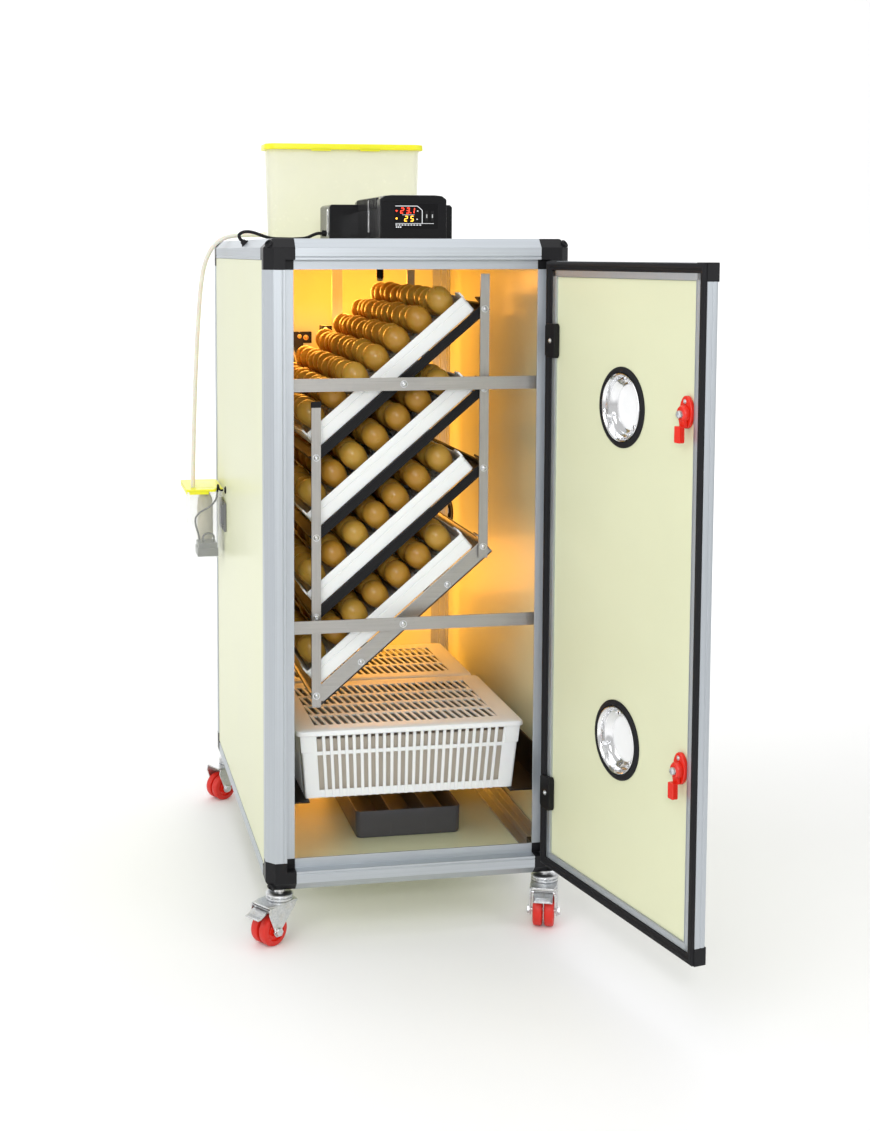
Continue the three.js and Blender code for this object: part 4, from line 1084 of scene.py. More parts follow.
class IncubatorLatches(bpy.types.Operator):
    """Makes the red latches with their bolts"""
    bl_idname = "incubator.latches"
    bl_label = "Latches"

    def execute(self, context):
        for name, z in LATCHES.items():
            place = DOOR @ Matrix.Translation((LATCH_X, 0, z))
            body = "latch_" + name
            form = Form()
            inner = DOOR_BACK - 0.003
            outer = DOOR_FRONT + 0.003
            oval = [(0.015 * math.cos(a), 0.024 * math.sin(a) + 0.002) for a in angles(28)]
            form.prism(oval, along_y, (inner + 0.0003, inner + 0.0068))
            form.finish("latch_plate_" + name, finish_of(red_plastic), "door", place, 0.0016, 3)
            form = Form()
            form.turned([(0, inner + 0.0070), (0.0125, inner + 0.007), (0.0120, inner + 0.0125),
                         (0.0100, inner + 0.0150),
                         (0, inner + 0.0150)], (0, 0, 0), "Y", 32)
            form.prism([(-0.0062, -0.004), (-0.0070, -0.020), (0.0070, -0.020), (0.0062, -0.004)],
                       lambda u, v, s: (u, s + (0.2 * (v + 0.004) if s > inner + 0.01 else 0), v),
                       (inner + 0.0075, inner + 0.0150))
            form.prism([(-0.0068, -0.018), (-0.0070, -0.041), (-0.0055, -0.0425), (0.0055, -0.0425),
                        (0.0070, -0.041),
                        (0.0068, -0.018)], along_y, (DOOR_BACK + 0.0085, DOOR_BACK + 0.0178))
            form.prism([(0.017 * math.cos(a), 0.017 * math.sin(a)) for a in angles(28)], along_y,
                       (outer - 0.012, outer - 0.0003))
            form.prism([(-0.0075, 0.009), (-0.0060, -0.047), (-0.0040, -0.049), (0.0040, -0.049),
                        (0.0060, -0.047),
                        (0.0075, 0.009)], along_y, (DOOR_FRONT - 0.022, DOOR_FRONT - 0.011))
            form.finish("latch_lever_" + name, finish_of(red_plastic), body, place, 0.0016, 3,
                        replaces=("latch_" + name,))
            form = Form()
            form.turned([(0, 0.020), (0.0058, 0.020), (0.0060, 0.0265), (0.0052, 0.0284), (0.0036, 0.0288),
                         (0.0030, 0.0266),
                         (0, 0.0266)], (0, 0, -0.001), "Y", 24)
            form.finish("latch_bolt_" + name, finish_of(zinc), body, place)
            form = Form()
            form.screw((0.001, inner + 0.0068, 0.0175), (0, 1, 0), 0.0026)
            form.finish("latch_plate_screw_" + name, finish_of(zinc), "door", place)
        return {"FINISHED"}


class IncubatorHinges(bpy.types.Operator):
    """Makes both halves of each hinge"""
    bl_idname = "incubator.hinges"
    bl_label = "Hinges"

    def execute(self, context):
        x, y = HINGE.x, HINGE.y
        for name, z in HINGES.items():
            fixed = Form()
            fixed.prism([(0.2265, z - 0.026), (0.2290, z - 0.0295), (0.2412, z - 0.0295),
                         (0.2438, z - 0.026),
                         (0.2438, z + 0.026), (0.2412, z + 0.0295), (0.2290, z + 0.0295),
                         (0.2265, z + 0.026)],
                        along_y, (-0.0033, -0.0003))
            for a, b in ((z - 0.0298, z - 0.0104), (z + 0.0104, z + 0.0298)):
                fixed.turned([(0, a), (0.0052, a), (0.0059, a + 0.001), (0.0059, b - 0.001), (0.0052, b),
                              (0, b)], (x, y, 0),
                             "Z", 28)
                fixed.slab((x - 0.0038, x + 0.0038), (y, -0.002), (a + 0.001, b - 0.001))
            fixed.finish("hinge_fixed_" + name, finish_of(black_plastic), "cabinet", CABINET, 0.0007, 2,
                         replaces=("hinge_" + name,))
            moving = Form()
            leaf = DOOR_FRONT - 0.004
            moving.slab((0.190, x), (leaf, DOOR_FRONT + 0.0002), (z - 0.0098, z + 0.0098))
            moving.prism([(0.190, z - 0.026), (0.193, z - 0.0297), (0.2238, z - 0.0297),
                          (0.2238, z + 0.0297),
                          (0.193, z + 0.0297), (0.190, z + 0.026)], along_y, (leaf, DOOR_FRONT + 0.0002))
            moving.turned([(0.0030, z - 0.0098), (0.0052, z - 0.0098), (0.0059, z - 0.0088),
                           (0.0059, z + 0.0088),
                           (0.0052, z + 0.0098), (0.0030, z + 0.0098)], (x, y, 0), "Z", 28)
            pad = [(0.189, z - 0.024), (0.192, z - 0.0285), (0.2165, z - 0.0285), (0.2205, z - 0.024),
                   (0.2205, z + 0.024), (0.2165, z + 0.0285), (0.192, z + 0.0285), (0.189, z + 0.024)]
            moving.prism(pad, along_y, (DOOR_BACK - 0.0032, DOOR_BACK + 0.0068))
            moving.finish("hinge_leaf_" + name, finish_of(black_plastic), "door", DOOR, 0.0010, 3)
            bolts = Form()
            for dz in (-0.019, 0.019):
                bolts.screw((0.207, leaf, z + dz), (0, -1, 0), 0.0032)
            bolts.screw((0.203, DOOR_BACK + 0.0068, z), (0, 1, 0), 0.0032)
            bolts.finish("hinge_screws_" + name, finish_of(zinc), "door", DOOR)
        return {"FINISHED"}


# ---------------------------------------------------------------- egg turning
TRAY_Y = (0.070, 0.625)
TRAY_HALF = 0.180
CARRIER_HALF = 0.200
PIVOT_REACH = 0.1925
LINK_Y = (0.0595, 0.6325)
EGG_COLUMNS = range(-3, 4)
EGG_ROWS = range(-5, 6)
EGG_FOOT = 0.0235
EGG_LEAN = 0.06
EGG_VARIES = (0.02, 0.03)
EGG_TAPER = 0.13


class IncubatorTraySupports(bpy.types.Operator):
    """Finishes the crossbars and links, and makes the rear hanger and the screws"""
    bl_idname = "incubator.tray_supports"
    bl_label = "Tray supports"

    def execute(self, context):
        for node in ("crossbar_upper", "crossbar_lower"):
            dress(node, finish_of(steel, "stainless_x", "X"))
        for side in ("left", "right"):
            for end in ("front", "rear"):
                dress("link_%s_%s" % (side, end), finish_of(steel, "stainless_z", "Z"))
        x = TOP_PIVOT.x
        low = TOP_PIVOT.z - (TRAY_COUNT - 1) * TRAY_PITCH
        screws = Form()
        for z in (TOP_PIVOT.z, low):
            screws.screw((x, 0.0363, z), (0, -1, 0), 0.0048)
            for side in (-1, 1):
                screws.screw((side * 0.2338, 0.046, z), (-side, 0, 0), 0.0036)
        screws.finish("crossbar_screws", finish_of(zinc), "cabinet")
        for side, hand in HANDS:
            ends = Form()
            top = TOP_PIVOT.z + side * PIVOT_REACH * math.sin(TILT)
            at = x + side * PIVOT_REACH * math.cos(TILT)
            for number in range(TRAY_COUNT):
                ends.screw((at, LINK_Y[0], top - number * TRAY_PITCH), (0, -1, 0), 0.0046)
                ends.screw((at, LINK_Y[1] + 0.003, top - number * TRAY_PITCH), (0, 1, 0), 0.0046)
            ends.finish("link_screws_" + hand, finish_of(zinc), "link_" + hand)
        at = x - PIVOT_REACH * math.cos(TILT)
        top = TOP_PIVOT.z - PIVOT_REACH * math.sin(TILT) + LINK_TOP
        cap = Form()
        for y in LINK_Y:
            cap.slab((at - 0.0088, at + 0.0088), (y - 0.0011, y + 0.0041), (top - 0.010, top + 0.0009))
        cap.finish("link_cap", finish_of(black_plastic), "link_left", edge=0.0008)
        self.hanger(x, low)
        return {"FINISHED"}

    @staticmethod
    def hanger(x, low):
        """The rear hanger, and the geared motor that turns the trays."""
        y = 0.672
        bar = Form()
        bar.slab((x - 0.011, x + 0.011), (y, y + 0.003), (0.423, HEIGHT - 0.0202))
        bar.slab((x - 0.011, x + 0.011), (y - 0.014, y + 0.001), (HEIGHT - 0.0226, HEIGHT - 0.0202))
        bar.slab((x - 0.011, x + 0.011), (y, DEPTH - 0.0200), (0.4205, 0.4235))
        bar.finish("rear_hanger", finish_of(steel, "stainless_z", "Z"), "cabinet", edge=0.0004, steps=1,
                   replaces=("rear_support",))
        z = TOP_PIVOT.z
        box = Form()
        box.slab((x - 0.030, x + 0.028), (y + 0.0035, y + 0.046), (z - 0.028, z + 0.070))
        box.slab((x - 0.027, x + 0.025), (y + 0.046, y + 0.062), (z - 0.025, z + 0.067))
        for i in range(6):
            box.slab((x - 0.0306, x + 0.0286), (y + 0.012 + 0.005 * i, y + 0.0145 + 0.005 * i),
                     (z + 0.010, z + 0.064))
        box.finish("motor_case", finish_of(black_plastic), "cabinet", edge=0.0015, steps=3,
                   replaces=("rear_support",))
        drum = Form()
        drum.turned([(0, y + 0.060), (0.0150, y + 0.060), (0.0178, y + 0.063), (0.0178, y + 0.088),
                     (0.0160, y + 0.091),
                     (0.0060, y + 0.0915), (0, y + 0.0915)], (x, 0, z), "Y", 40)
        for a, b in ((-0.024, -0.022), (0.022, -0.022), (-0.024, 0.064), (0.022, 0.064)):
            drum.screw((x + a, y + 0.0035, z + b), (0, -1, 0), 0.0028)
        drum.finish("motor_drum", finish_of(zinc), "cabinet")


class IncubatorTrays(bpy.types.Operator):
    """Makes the tilting carriers and the egg trays that stand in them"""
    bl_idname = "incubator.trays"
    bl_label = "Egg trays"

    def execute(self, context):
        for number in range(TRAY_COUNT):
            place = tray_place(number)
            self.carrier(number, place)
            self.tray(number, place)
        return {"FINISHED"}

    @staticmethod
    def carrier(number, place):
        last = number == TRAY_COUNT - 1
        low, high = (-0.020 if last else -0.008), 0.008
        y = (TRAY_Y[0] - 0.004, TRAY_Y[1] + 0.004)
        half = CARRIER_HALF
        metal = finish_of(steel, "stainless_x", "X") if last else finish_of(black_plastic)
        form = Form()
        for a, b in ((y[0], y[0] + 0.003), (y[1] - 0.003, y[1])):
            if last:
                ends = [(-half + 0.014, low), (half - 0.006, low), (half, low + 0.006), (half, high),
                        (-half, high),
                        (-half, low + 0.010)]
            else:
                ends = [(-half, low), (half, low), (half, high), (-half, high)]
            form.prism(ends, along_y, (a, b))
        if not last:
            form.slab((-half, half), (y[0] - 0.0012, y[0] + 0.0005), (high - 0.003, high))
            form.slab((-half, half), (y[0] - 0.0012, y[0] + 0.0005), (low, low + 0.003))
        for side in (-1, 1):
            x = sorted((side * half, side * (half - 0.003)))
            form.slab(x, y, (low, high))
            x = sorted((side * half, side * (half - 0.018)))
            form.slab(x, y, (low, low + 0.003))
        form.slab((-half, half), (y[0], y[0] + 0.018), (low, low + 0.003))
        form.slab((-half, half), (y[1] - 0.018, y[1]), (low, low + 0.003))
        for i in (-1, 1):
            form.slab((i * 0.075 - 0.008, i * 0.075 + 0.008), y, (low + 0.0002, low + 0.0028))
        form.slab((half - 0.003, half), (y[0], y[0] + 0.026), (high - 0.002, high + 0.0125))
        form.finish("tray_frame_%d" % (number + 1), metal, "tray_%d" % (number + 1), place, 0.0006, 2,
                    replaces=("carrier_%d" % (number + 1),))
        pins = Form()
        for x in (-PIVOT_REACH, PIVOT_REACH):
            pins.rod((x, y[0] + 0.001, 0), (x, LINK_Y[0] - 0.0008, 0), 0.003)
            pins.rod((x, y[1] - 0.001, 0), (x, LINK_Y[1] + 0.0038, 0), 0.003)
        if number == 0 or last:
            pins.rod((0, y[0] + 0.001, 0), (0, 0.0364, 0), 0.003)
            pins.rod((0, y[1] - 0.001, 0), (0, 0.6746, 0), 0.004)
        if last:
            for x in (-0.097, 0.103):
                pins.screw((x, y[0], -0.010), (0, -1, 0), 0.0044)
        pins.finish("tray_pins_%d" % (number + 1), finish_of(zinc), "tray_%d" % (number + 1), place)

    @staticmethod
    def tray(number, place):
        """A white tray: stepped walls with a groove, a rim, and a ring under each egg."""
        z = 0.0083
        x = (-TRAY_HALF, TRAY_HALF)
        form = Form()
        levels = [(0.0012, z), (0.0, z + 0.0012), (0.0, z + 0.0195), (0.0012, z + 0.0200),
                  (0.0012, z + 0.0212),
                  (0.0002, z + 0.0217), (0.0002, z + 0.0300), (0.0006, z + 0.0317), (0.0026, z + 0.0320),
                  (0.0032, z + 0.0312), (0.0032, z + 0.0030)]
        form.tub([rounded(inset(x, d), inset(TRAY_Y, d), 0.006, h) for d, h in levels])
        pitch = sizes().egg_pitch
        for i in EGG_COLUMNS:
            for j in EGG_ROWS:
                centre = (i * pitch, sum(TRAY_Y) / 2 + j * pitch, 0)
                form.turned([(0.0150, z + 0.003), (0.0150, z + 0.0150), (0.0166, z + 0.0150),
                             (0.0178, z + 0.003)],
                            centre, "Z", 12)
        for i in range(-3, 3):
            form.slab(((i + 0.5) * pitch - 0.0008, (i + 0.5) * pitch + 0.0008), inset(TRAY_Y, 0.0035),
                      (z + 0.003, z + 0.010))
        for side in (-1, 1):
            tab = sorted((side * TRAY_HALF, side * (TRAY_HALF - 0.003)))
            form.prism([(TRAY_Y[0] + 0.001, z + 0.030), (TRAY_Y[0] + 0.040, z + 0.030),
                        (TRAY_Y[0] + 0.034, z + 0.0395),
                        (TRAY_Y[0] + 0.007, z + 0.0395)], along_x, tab)
        form.finish("tray_%d_shell" % (number + 1), finish_of(white_plastic), "eggs_%d" % (number + 1),
                    place,
                    replaces=("egg_tray_%d" % (number + 1),))


class IncubatorEggs(bpy.types.Operator):
    """Fills the trays with eggs, each a little different"""
    bl_idname = "incubator.eggs"
    bl_label = "Eggs"

    def execute(self, context):
        size = sizes()
        middle = sum(TRAY_Y) / 2
        for number in range(TRAY_COUNT):
            form = Form()
            for i in EGG_COLUMNS:
                for j in EGG_ROWS:
                    seed = 1000 * number + 17 * (i + 4) + 131 * (j + 6)
                    wobble = [math.sin(seed * k) for k in (1.31, 2.17, 3.73, 4.91)]
                    self.egg(form, size, (i * size.egg_pitch, middle + j * size.egg_pitch, EGG_FOOT),
                             wobble)
            form.finish("eggs_on_tray_%d" % (number + 1), finish_of(egg_shell), "eggs_%d" % (number + 1),
                        tray_place(number))
        return {"FINISHED"}

    @staticmethod
    def egg(form, size, foot, wobble):
        thick = size.egg_thickness / 2 * (1 + EGG_VARIES[0] * wobble[0])
        tall = size.egg_length * (1 + EGG_VARIES[1] * wobble[1])
        profile = [(0, 0)]
        steps = 12
        for k in range(1, steps):
            t = math.pi * k / steps
            along = (1 - math.cos(t)) / 2
            profile.append((thick * math.sin(t) * (1 - EGG_TAPER * math.cos(t)), tall * along))
        profile.append((0, tall))
        lean = (Matrix.Translation(foot) @ Matrix.Rotation(EGG_LEAN * wobble[2], 4, "X")
                @ Matrix.Rotation(EGG_LEAN * wobble[3], 4, "Y"))
        form.turned(profile, segments=18, turn=lean)


# ---------------------------------------------------------------- fan
class IncubatorFan(bpy.types.Operator):
    """Makes the fan, its housing and the heating ring"""
    bl_idname = "incubator.fan"
    bl_label = "Fan"

    def execute(self, context):
        hub = joint_place("fan_spin") - CORNER
        low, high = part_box("fan_housing")
        wall = high.y - CORNER.y
        front = 0.745
        x, z = hub.x, hub.z
        form = Form()
        bore = 0.0565
        loop = rounded((x - 0.064, x + 0.064), (z - 0.064, z + 0.064), 0.008, 0)
        outline = [(p[0], p[1]) for p in loop]
        inner = [(x + bore * math.cos(a), z + bore * math.sin(a)) for a in angles(len(outline))]
        for y0, y1 in ((front, front + 0.004), (wall - 0.004, wall)):
            form.loop_skin([[(u, y, v) for u, v in points]
                            for points, y in ((outline, y0), (outline, y1), (inner, y1), (inner, y0))])
        form.turned([(bore, front + 0.002), (bore + 0.002, front + 0.002), (bore + 0.002, wall - 0.002),
                     (bore, wall - 0.002),
                     (bore, front + 0.002)], (x, 0, z), "Y", 40)
        form.turned([(0, wall - 0.014), (0.0160, wall - 0.014), (0.0160, wall), (0, wall)], (x, 0, z), "Y",
                    32)
        for i in range(4):
            a = math.pi * (0.25 + 0.5 * i)
            form.rod((x + 0.010 * math.cos(a), wall - 0.006, z + 0.010 * math.sin(a)),
                     (x + 0.058 * math.cos(a), wall - 0.006, z + 0.058 * math.sin(a)), 0.003)
        form.slab((x + 0.062, x + 0.086), (wall - 0.008, wall), (z + 0.040, z + 0.064))
        form.finish("fan_frame", finish_of(black_plastic), "cabinet", edge=0.0008,
                    replaces=("fan_housing",))
        heater = Form()
        ring = [(x + 0.046 * math.cos(a), front - 0.018, z + 0.046 * math.sin(a))
                for a in (math.pi + 2 * math.pi * i / 48 for i in range(49))]
        heater.tube(ring, 0.0036)
        heater.tube([(x - 0.046, front - 0.018, z), (x - 0.056, front - 0.0175, z - 0.001),
                     (x - 0.0590, front - 0.013, z - 0.003),
                     (x - 0.0590, front + 0.003, z - 0.003)], 0.0034)
        heater.finish("heating_ring", finish_of(steel, "stainless_z", "Z"), "cabinet",
                      replaces=("fan_housing",))
        bolt = Form()
        bolt.screw((x + 0.074, wall - 0.008, z + 0.052), (0, -1, 0), 0.0042)
        for a in (-1, 1):
            for b in (-1, 1):
                bolt.screw((x + a * 0.056, front, z + b * 0.056), (0, -1, 0), 0.0032)
        bolt.finish("fan_screws", finish_of(brass), "cabinet")
        self.blades(x, front + 0.011, z)
        return {"FINISHED"}

    @staticmethod
    def blades(x, y, z):
        """A moulded fan: a hub cup and five twisted, cambered blades."""
        form = Form()
        form.turned([(0, -0.0072), (0.0120, -0.0072), (0.0155, -0.0045), (0.0158, 0.0072), (0, 0.0072)],
                    segments=32, axis="Y")
        for blade in range(5):
            rows = []
            for i in range(9):
                reach = 0.0145 + (0.0530 - 0.0145) * i / 8
                twist = 0.75 - 0.35 * i / 8
                half = 0.0085 + 0.0020 * i / 8
                row = []
                for k in range(7):
                    c = -1 + k / 3
                    across = half * c
                    camber = 0.0016 * (1 - c * c)
                    row.append(Vector((reach, -across * math.sin(twist) * 0.62 - camber * 0.8,
                                       across * math.cos(twist))))
                rows.append(row)
            turn = Matrix.Rotation(2 * math.pi * blade / 5, 4, "Y")
            for offset in (0.0, 0.0012):
                grid = [[form.mesh.verts.new(turn @ (p + Vector((0, offset,
                                                                 0)))) for p in row] for row in rows]
                for a, b in zip(grid, grid[1:]):
                    for k in range(6):
                        form.mesh.faces.new([a[k], a[k + 1], b[k + 1], b[k]])
        form.finish("fan_rotor", finish_of(gloss_black), "fan", CABINET @ Matrix.Translation((x, y, z)),
                    replaces=("fan_blade",))


# ---------------------------------------------------------------- crates and water tray
CRATE_LOW = 0.138
CRATE_RIM = 0.255
CRATE_DRAFT = 0.010
LID_HIGH = 0.260
LINER_INSET = 0.0155


class IncubatorCrates(bpy.types.Operator):
    """Makes the slotted hatching crates and their lids"""
    bl_idname = "incubator.crates"
    bl_label = "Crates"

    def execute(self, context):
        for node in ("shelf_rail_left", "shelf_rail_right"):
            dress(node, finish_of(black_plastic))
        for end in ("front", "rear"):
            low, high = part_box("crate_%s_lid" % end)
            x, y = (low.x - CORNER.x, high.x - CORNER.x), (low.y - CORNER.y, high.y - CORNER.y)
            self.crate(end, inset(x, 0.008), inset(y, 0.004))
            self.lid(end, x, y)
        return {"FINISHED"}

    def crate(self, end, x, y):
        """A crate whose walls lean in towards the base."""
        form = Form()

        def leaning(along, across, sign):
            middle = sum(along) / 2
            reach = (along[1] - along[0]) / 2

            def point(u, v, s):
                lean = CRATE_DRAFT * (CRATE_RIM - v) / (CRATE_RIM - CRATE_LOW)
                return middle + (u - middle) * (1 - lean / reach), across + sign * (lean + s), v
            return point

        for side in (0, 1):
            facing = leaning(x, y[side], 1 - 2 * side)
            self.wall(form, facing, x)
            turned = leaning(y, x[side], 1 - 2 * side)
            self.wall(form, lambda u, v, s: (turned(u, v, s)[1], turned(u, v, s)[0], v), y)
        self.bars(form, lambda u, v, s: (u, v, CRATE_LOW + s), inset(x, 0.015), inset(y, 0.015), 0.0)
        cloth = Form()
        low, high = CRATE_LOW + 0.004, CRATE_RIM - 0.012
        levels = [(LINER_INSET, low), (0.0068, high), (0.0080, high), (0.0168, CRATE_LOW + 0.0055)]
        cloth.tub([rounded(inset(x, d), inset(y, d), 0.008, h) for d, h in levels])
        liner = cloth.finish("liner_" + end, finish_of(liner_cloth), "crate_" + end)
        base = [limits[1] - limits[0] - 2 * LINER_INSET for limits in (x, y)]
        rise = high - low
        [side + 2 * rise for side in base]
        base[0] * base[1] + 2 * rise * sum(base)
        form.finish("hatcher_" + end, finish_of(white_plastic), "crate_" + end, edge=0.0005, steps=1,
                    replaces=("crate_" + end,))

    @staticmethod
    def wall(form, spread, span):
        """One slotted side: corner panels, ribs the full height, three bands, and a proud skirt."""
        pitch, rib = sizes().slot_pitch, sizes().slot_rib
        start, stop = span[0] + 0.026, span[1] - 0.026
        count = round((stop - start) / pitch)
        step = (stop - start) / count

        def plate(a, b, low, high, depth):
            form.prism([(a, low), (b, low), (b, high), (a, high)], spread, depth)

        plate(span[0], start + 0.001, CRATE_LOW, CRATE_RIM, (0.0, 0.0028))
        plate(stop - 0.001, span[1], CRATE_LOW, CRATE_RIM, (0.0, 0.0028))
        plate(span[0] - 0.0016, start - 0.003, CRATE_RIM - 0.034, CRATE_RIM - 0.0002, (-0.0016, 0.0014))
        plate(stop + 0.003, span[1] + 0.0016, CRATE_RIM - 0.034, CRATE_RIM - 0.0002, (-0.0016, 0.0014))
        plate(start, stop, CRATE_LOW, CRATE_LOW + 0.014, (0.0012, 0.0028))
        plate(start, stop, CRATE_LOW + 0.0770, CRATE_LOW + 0.0838, (0.0006, 0.0026))
        plate(start, stop, CRATE_RIM - 0.0060, CRATE_RIM - 0.0002, (0.0006, 0.0026))
        for i in range(1, count):
            at = start + i * step
            plate(at - rib / 2, at + rib / 2, CRATE_LOW, CRATE_RIM - 0.0004, (-0.0004, 0.0030))

    @staticmethod
    def bars(form, spread, across, along, lean):
        """A slotted sheet: long ribs, bands between the rows of slots, and a margin all round."""
        pitch, rib = sizes().slot_pitch, sizes().slot_rib
        margin = 0.018
        thick = (0.0, 0.0028)
        rows = max(2, round((along[1] - along[0]) / 0.072))
        deep = (along[1] - along[0] - 2 * margin) / rows
        band = 0.012
        for a, b in ((along[0], along[0] + margin), (along[1] - margin, along[1])):
            form.prism([(across[0], a), (across[1], a), (across[1], b), (across[0], b)], spread, thick)
        for a, b in ((across[0], across[0] + margin), (across[1] - margin, across[1])):
            form.prism([(a, along[0] + margin), (b, along[0] + margin), (b, along[1] - margin),
                        (a, along[1] - margin)],
                       spread, thick)
        for row in range(1, rows):
            middle = along[0] + margin + row * deep
            form.prism([(across[0] + margin, middle - band / 2), (across[1] - margin, middle - band / 2),
                        (across[1] - margin, middle + band / 2), (across[0] + margin, middle + band / 2)],
                        spread, thick)
        count = round((across[1] - across[0] - 2 * margin) / pitch)
        step = (across[1] - across[0] - 2 * margin) / count
        for row in range(rows):
            low = along[0] + margin + row * deep + (band / 2 if row else -0.0005)
            high = along[0] + margin + (row + 1) * deep - (band / 2 if row < rows - 1 else -0.0005)
            for i in range(count):
                at = across[0] + margin + (i + 0.5) * step
                form.prism([(at - rib / 2 + lean, low), (at + rib / 2 + lean, low),
                            (at + rib / 2 - lean, high),
                            (at - rib / 2 - lean, high)], spread, (0.0002, 0.0026))

    def lid(self, end, x, y):
        """A lid whose rim overhangs the crate, with rows of slanted slots."""
        form = Form()
        top = LID_HIGH
        levels = [(0.0026, top - 0.0090), (0.0002, top - 0.0088), (0.0, top - 0.0040),
                  (0.0012, top - 0.0012),
                  (0.0040, top), (0.0200, top), (0.0200, top - 0.0028), (0.0050, top - 0.0028),
                  (0.0030, top - 0.0040)]
        form.loop_skin([rounded(inset(x, d), inset(y, d), max(0.004, 0.010 - d), h) for d, h in levels])
        self.bars(form, lambda u, v, s: (u, v, top - 0.0029 + s), inset(x, 0.0195), inset(y, 0.0195),
                  0.0032)
        form.finish("hatcher_lid_" + end, finish_of(white_plastic), "crate_%s_lid" % end, edge=0.0004,
                    steps=1,
                    replaces=("crate_%s_lid" % end,))


class IncubatorWaterTray(bpy.types.Operator):
    """Makes the grey water tray with its three bays"""
    bl_idname = "incubator.water_tray"
    bl_label = "Water tray"

    def execute(self, context):
        low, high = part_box("water_tray")
        low, high = low - CORNER, high - CORNER
        x, y, z = (low.x, high.x), (low.y, high.y), (low.z, high.z)
        form = Form()
        levels = [(0.0045, z[0]), (0.0025, z[0] + 0.0008), (0.0012, z[0] + 0.004), (0.0, z[1] - 0.0015),
                  (0.0004, z[1] - 0.0003),
                  (0.0016, z[1]), (0.0024, z[1] - 0.0004), (0.0030, z[1] - 0.002), (0.0044, z[0] + 0.006),
                  (0.0080, z[0] + 0.0040)]
        form.tub([rounded(inset(x, d), inset(y, d), 0.011 - d * 0.5, h) for d, h in levels])
        third = (x[1] - x[0]) / 3
        for i in (1, 2):
            middle = x[0] + i * third
            form.slab((middle - 0.0014, middle + 0.0014), inset(y, 0.003), (z[0] + 0.003, z[1] - 0.003))
            form.slab((middle - 0.0007, middle + 0.0007), (y[0] + 0.0004, y[0] + 0.003),
                      (z[0] + 0.006, z[1] - 0.003))
        form.finish("water_basin", finish_of(basin_plastic), "water_tray", replaces=("water_tray",))
        return {"FINISHED"}


# ---------------------------------------------------------------- controller
SEGMENTS = {"2": "abged", "3": "abgcd", "1": "bc", "5": "afgcd"}


def digit(form, figure, at, tall, slant=0.12):
    """A seven-segment figure on the controller's face."""
    wide, bar = tall * 0.52, tall * 0.13
    half = tall / 2
    strokes = {
        "a": ((0, tall), (wide, tall)), "b": ((wide, tall), (wide, half)), "c": ((wide, half), (wide, 0)),
        "d": ((0, 0), (wide, 0)), "e": ((0, half), (0, 0)), "f": ((0, tall), (0, half)),
        "g": ((0, half), (wide, half)),
    }
    for key in SEGMENTS[figure]:
        (u0, v0), (u1, v1) = strokes[key]
        run = Vector((u1 - u0, v1 - v0))
        side = Vector((-run.y, run.x)).normalized() * bar / 2
        tip = run.normalized() * bar * 0.45
        start, end = Vector((u0, v0)), Vector((u1, v1))
        points = [start + tip * 0.2, start + tip + side, end - tip + side, end - tip * 0.2,
                  end - tip - side, start + tip - side]
        form.prism([(at[0] + p.x + slant * p.y, at[1] + p.y) for p in points], along_y,
                   (FACE_Y - 0.0007, FACE_Y - 0.0001))


FACE_Y = 0.100
BOX_X = (-0.047, 0.070)
BOX_TOP = 1.175


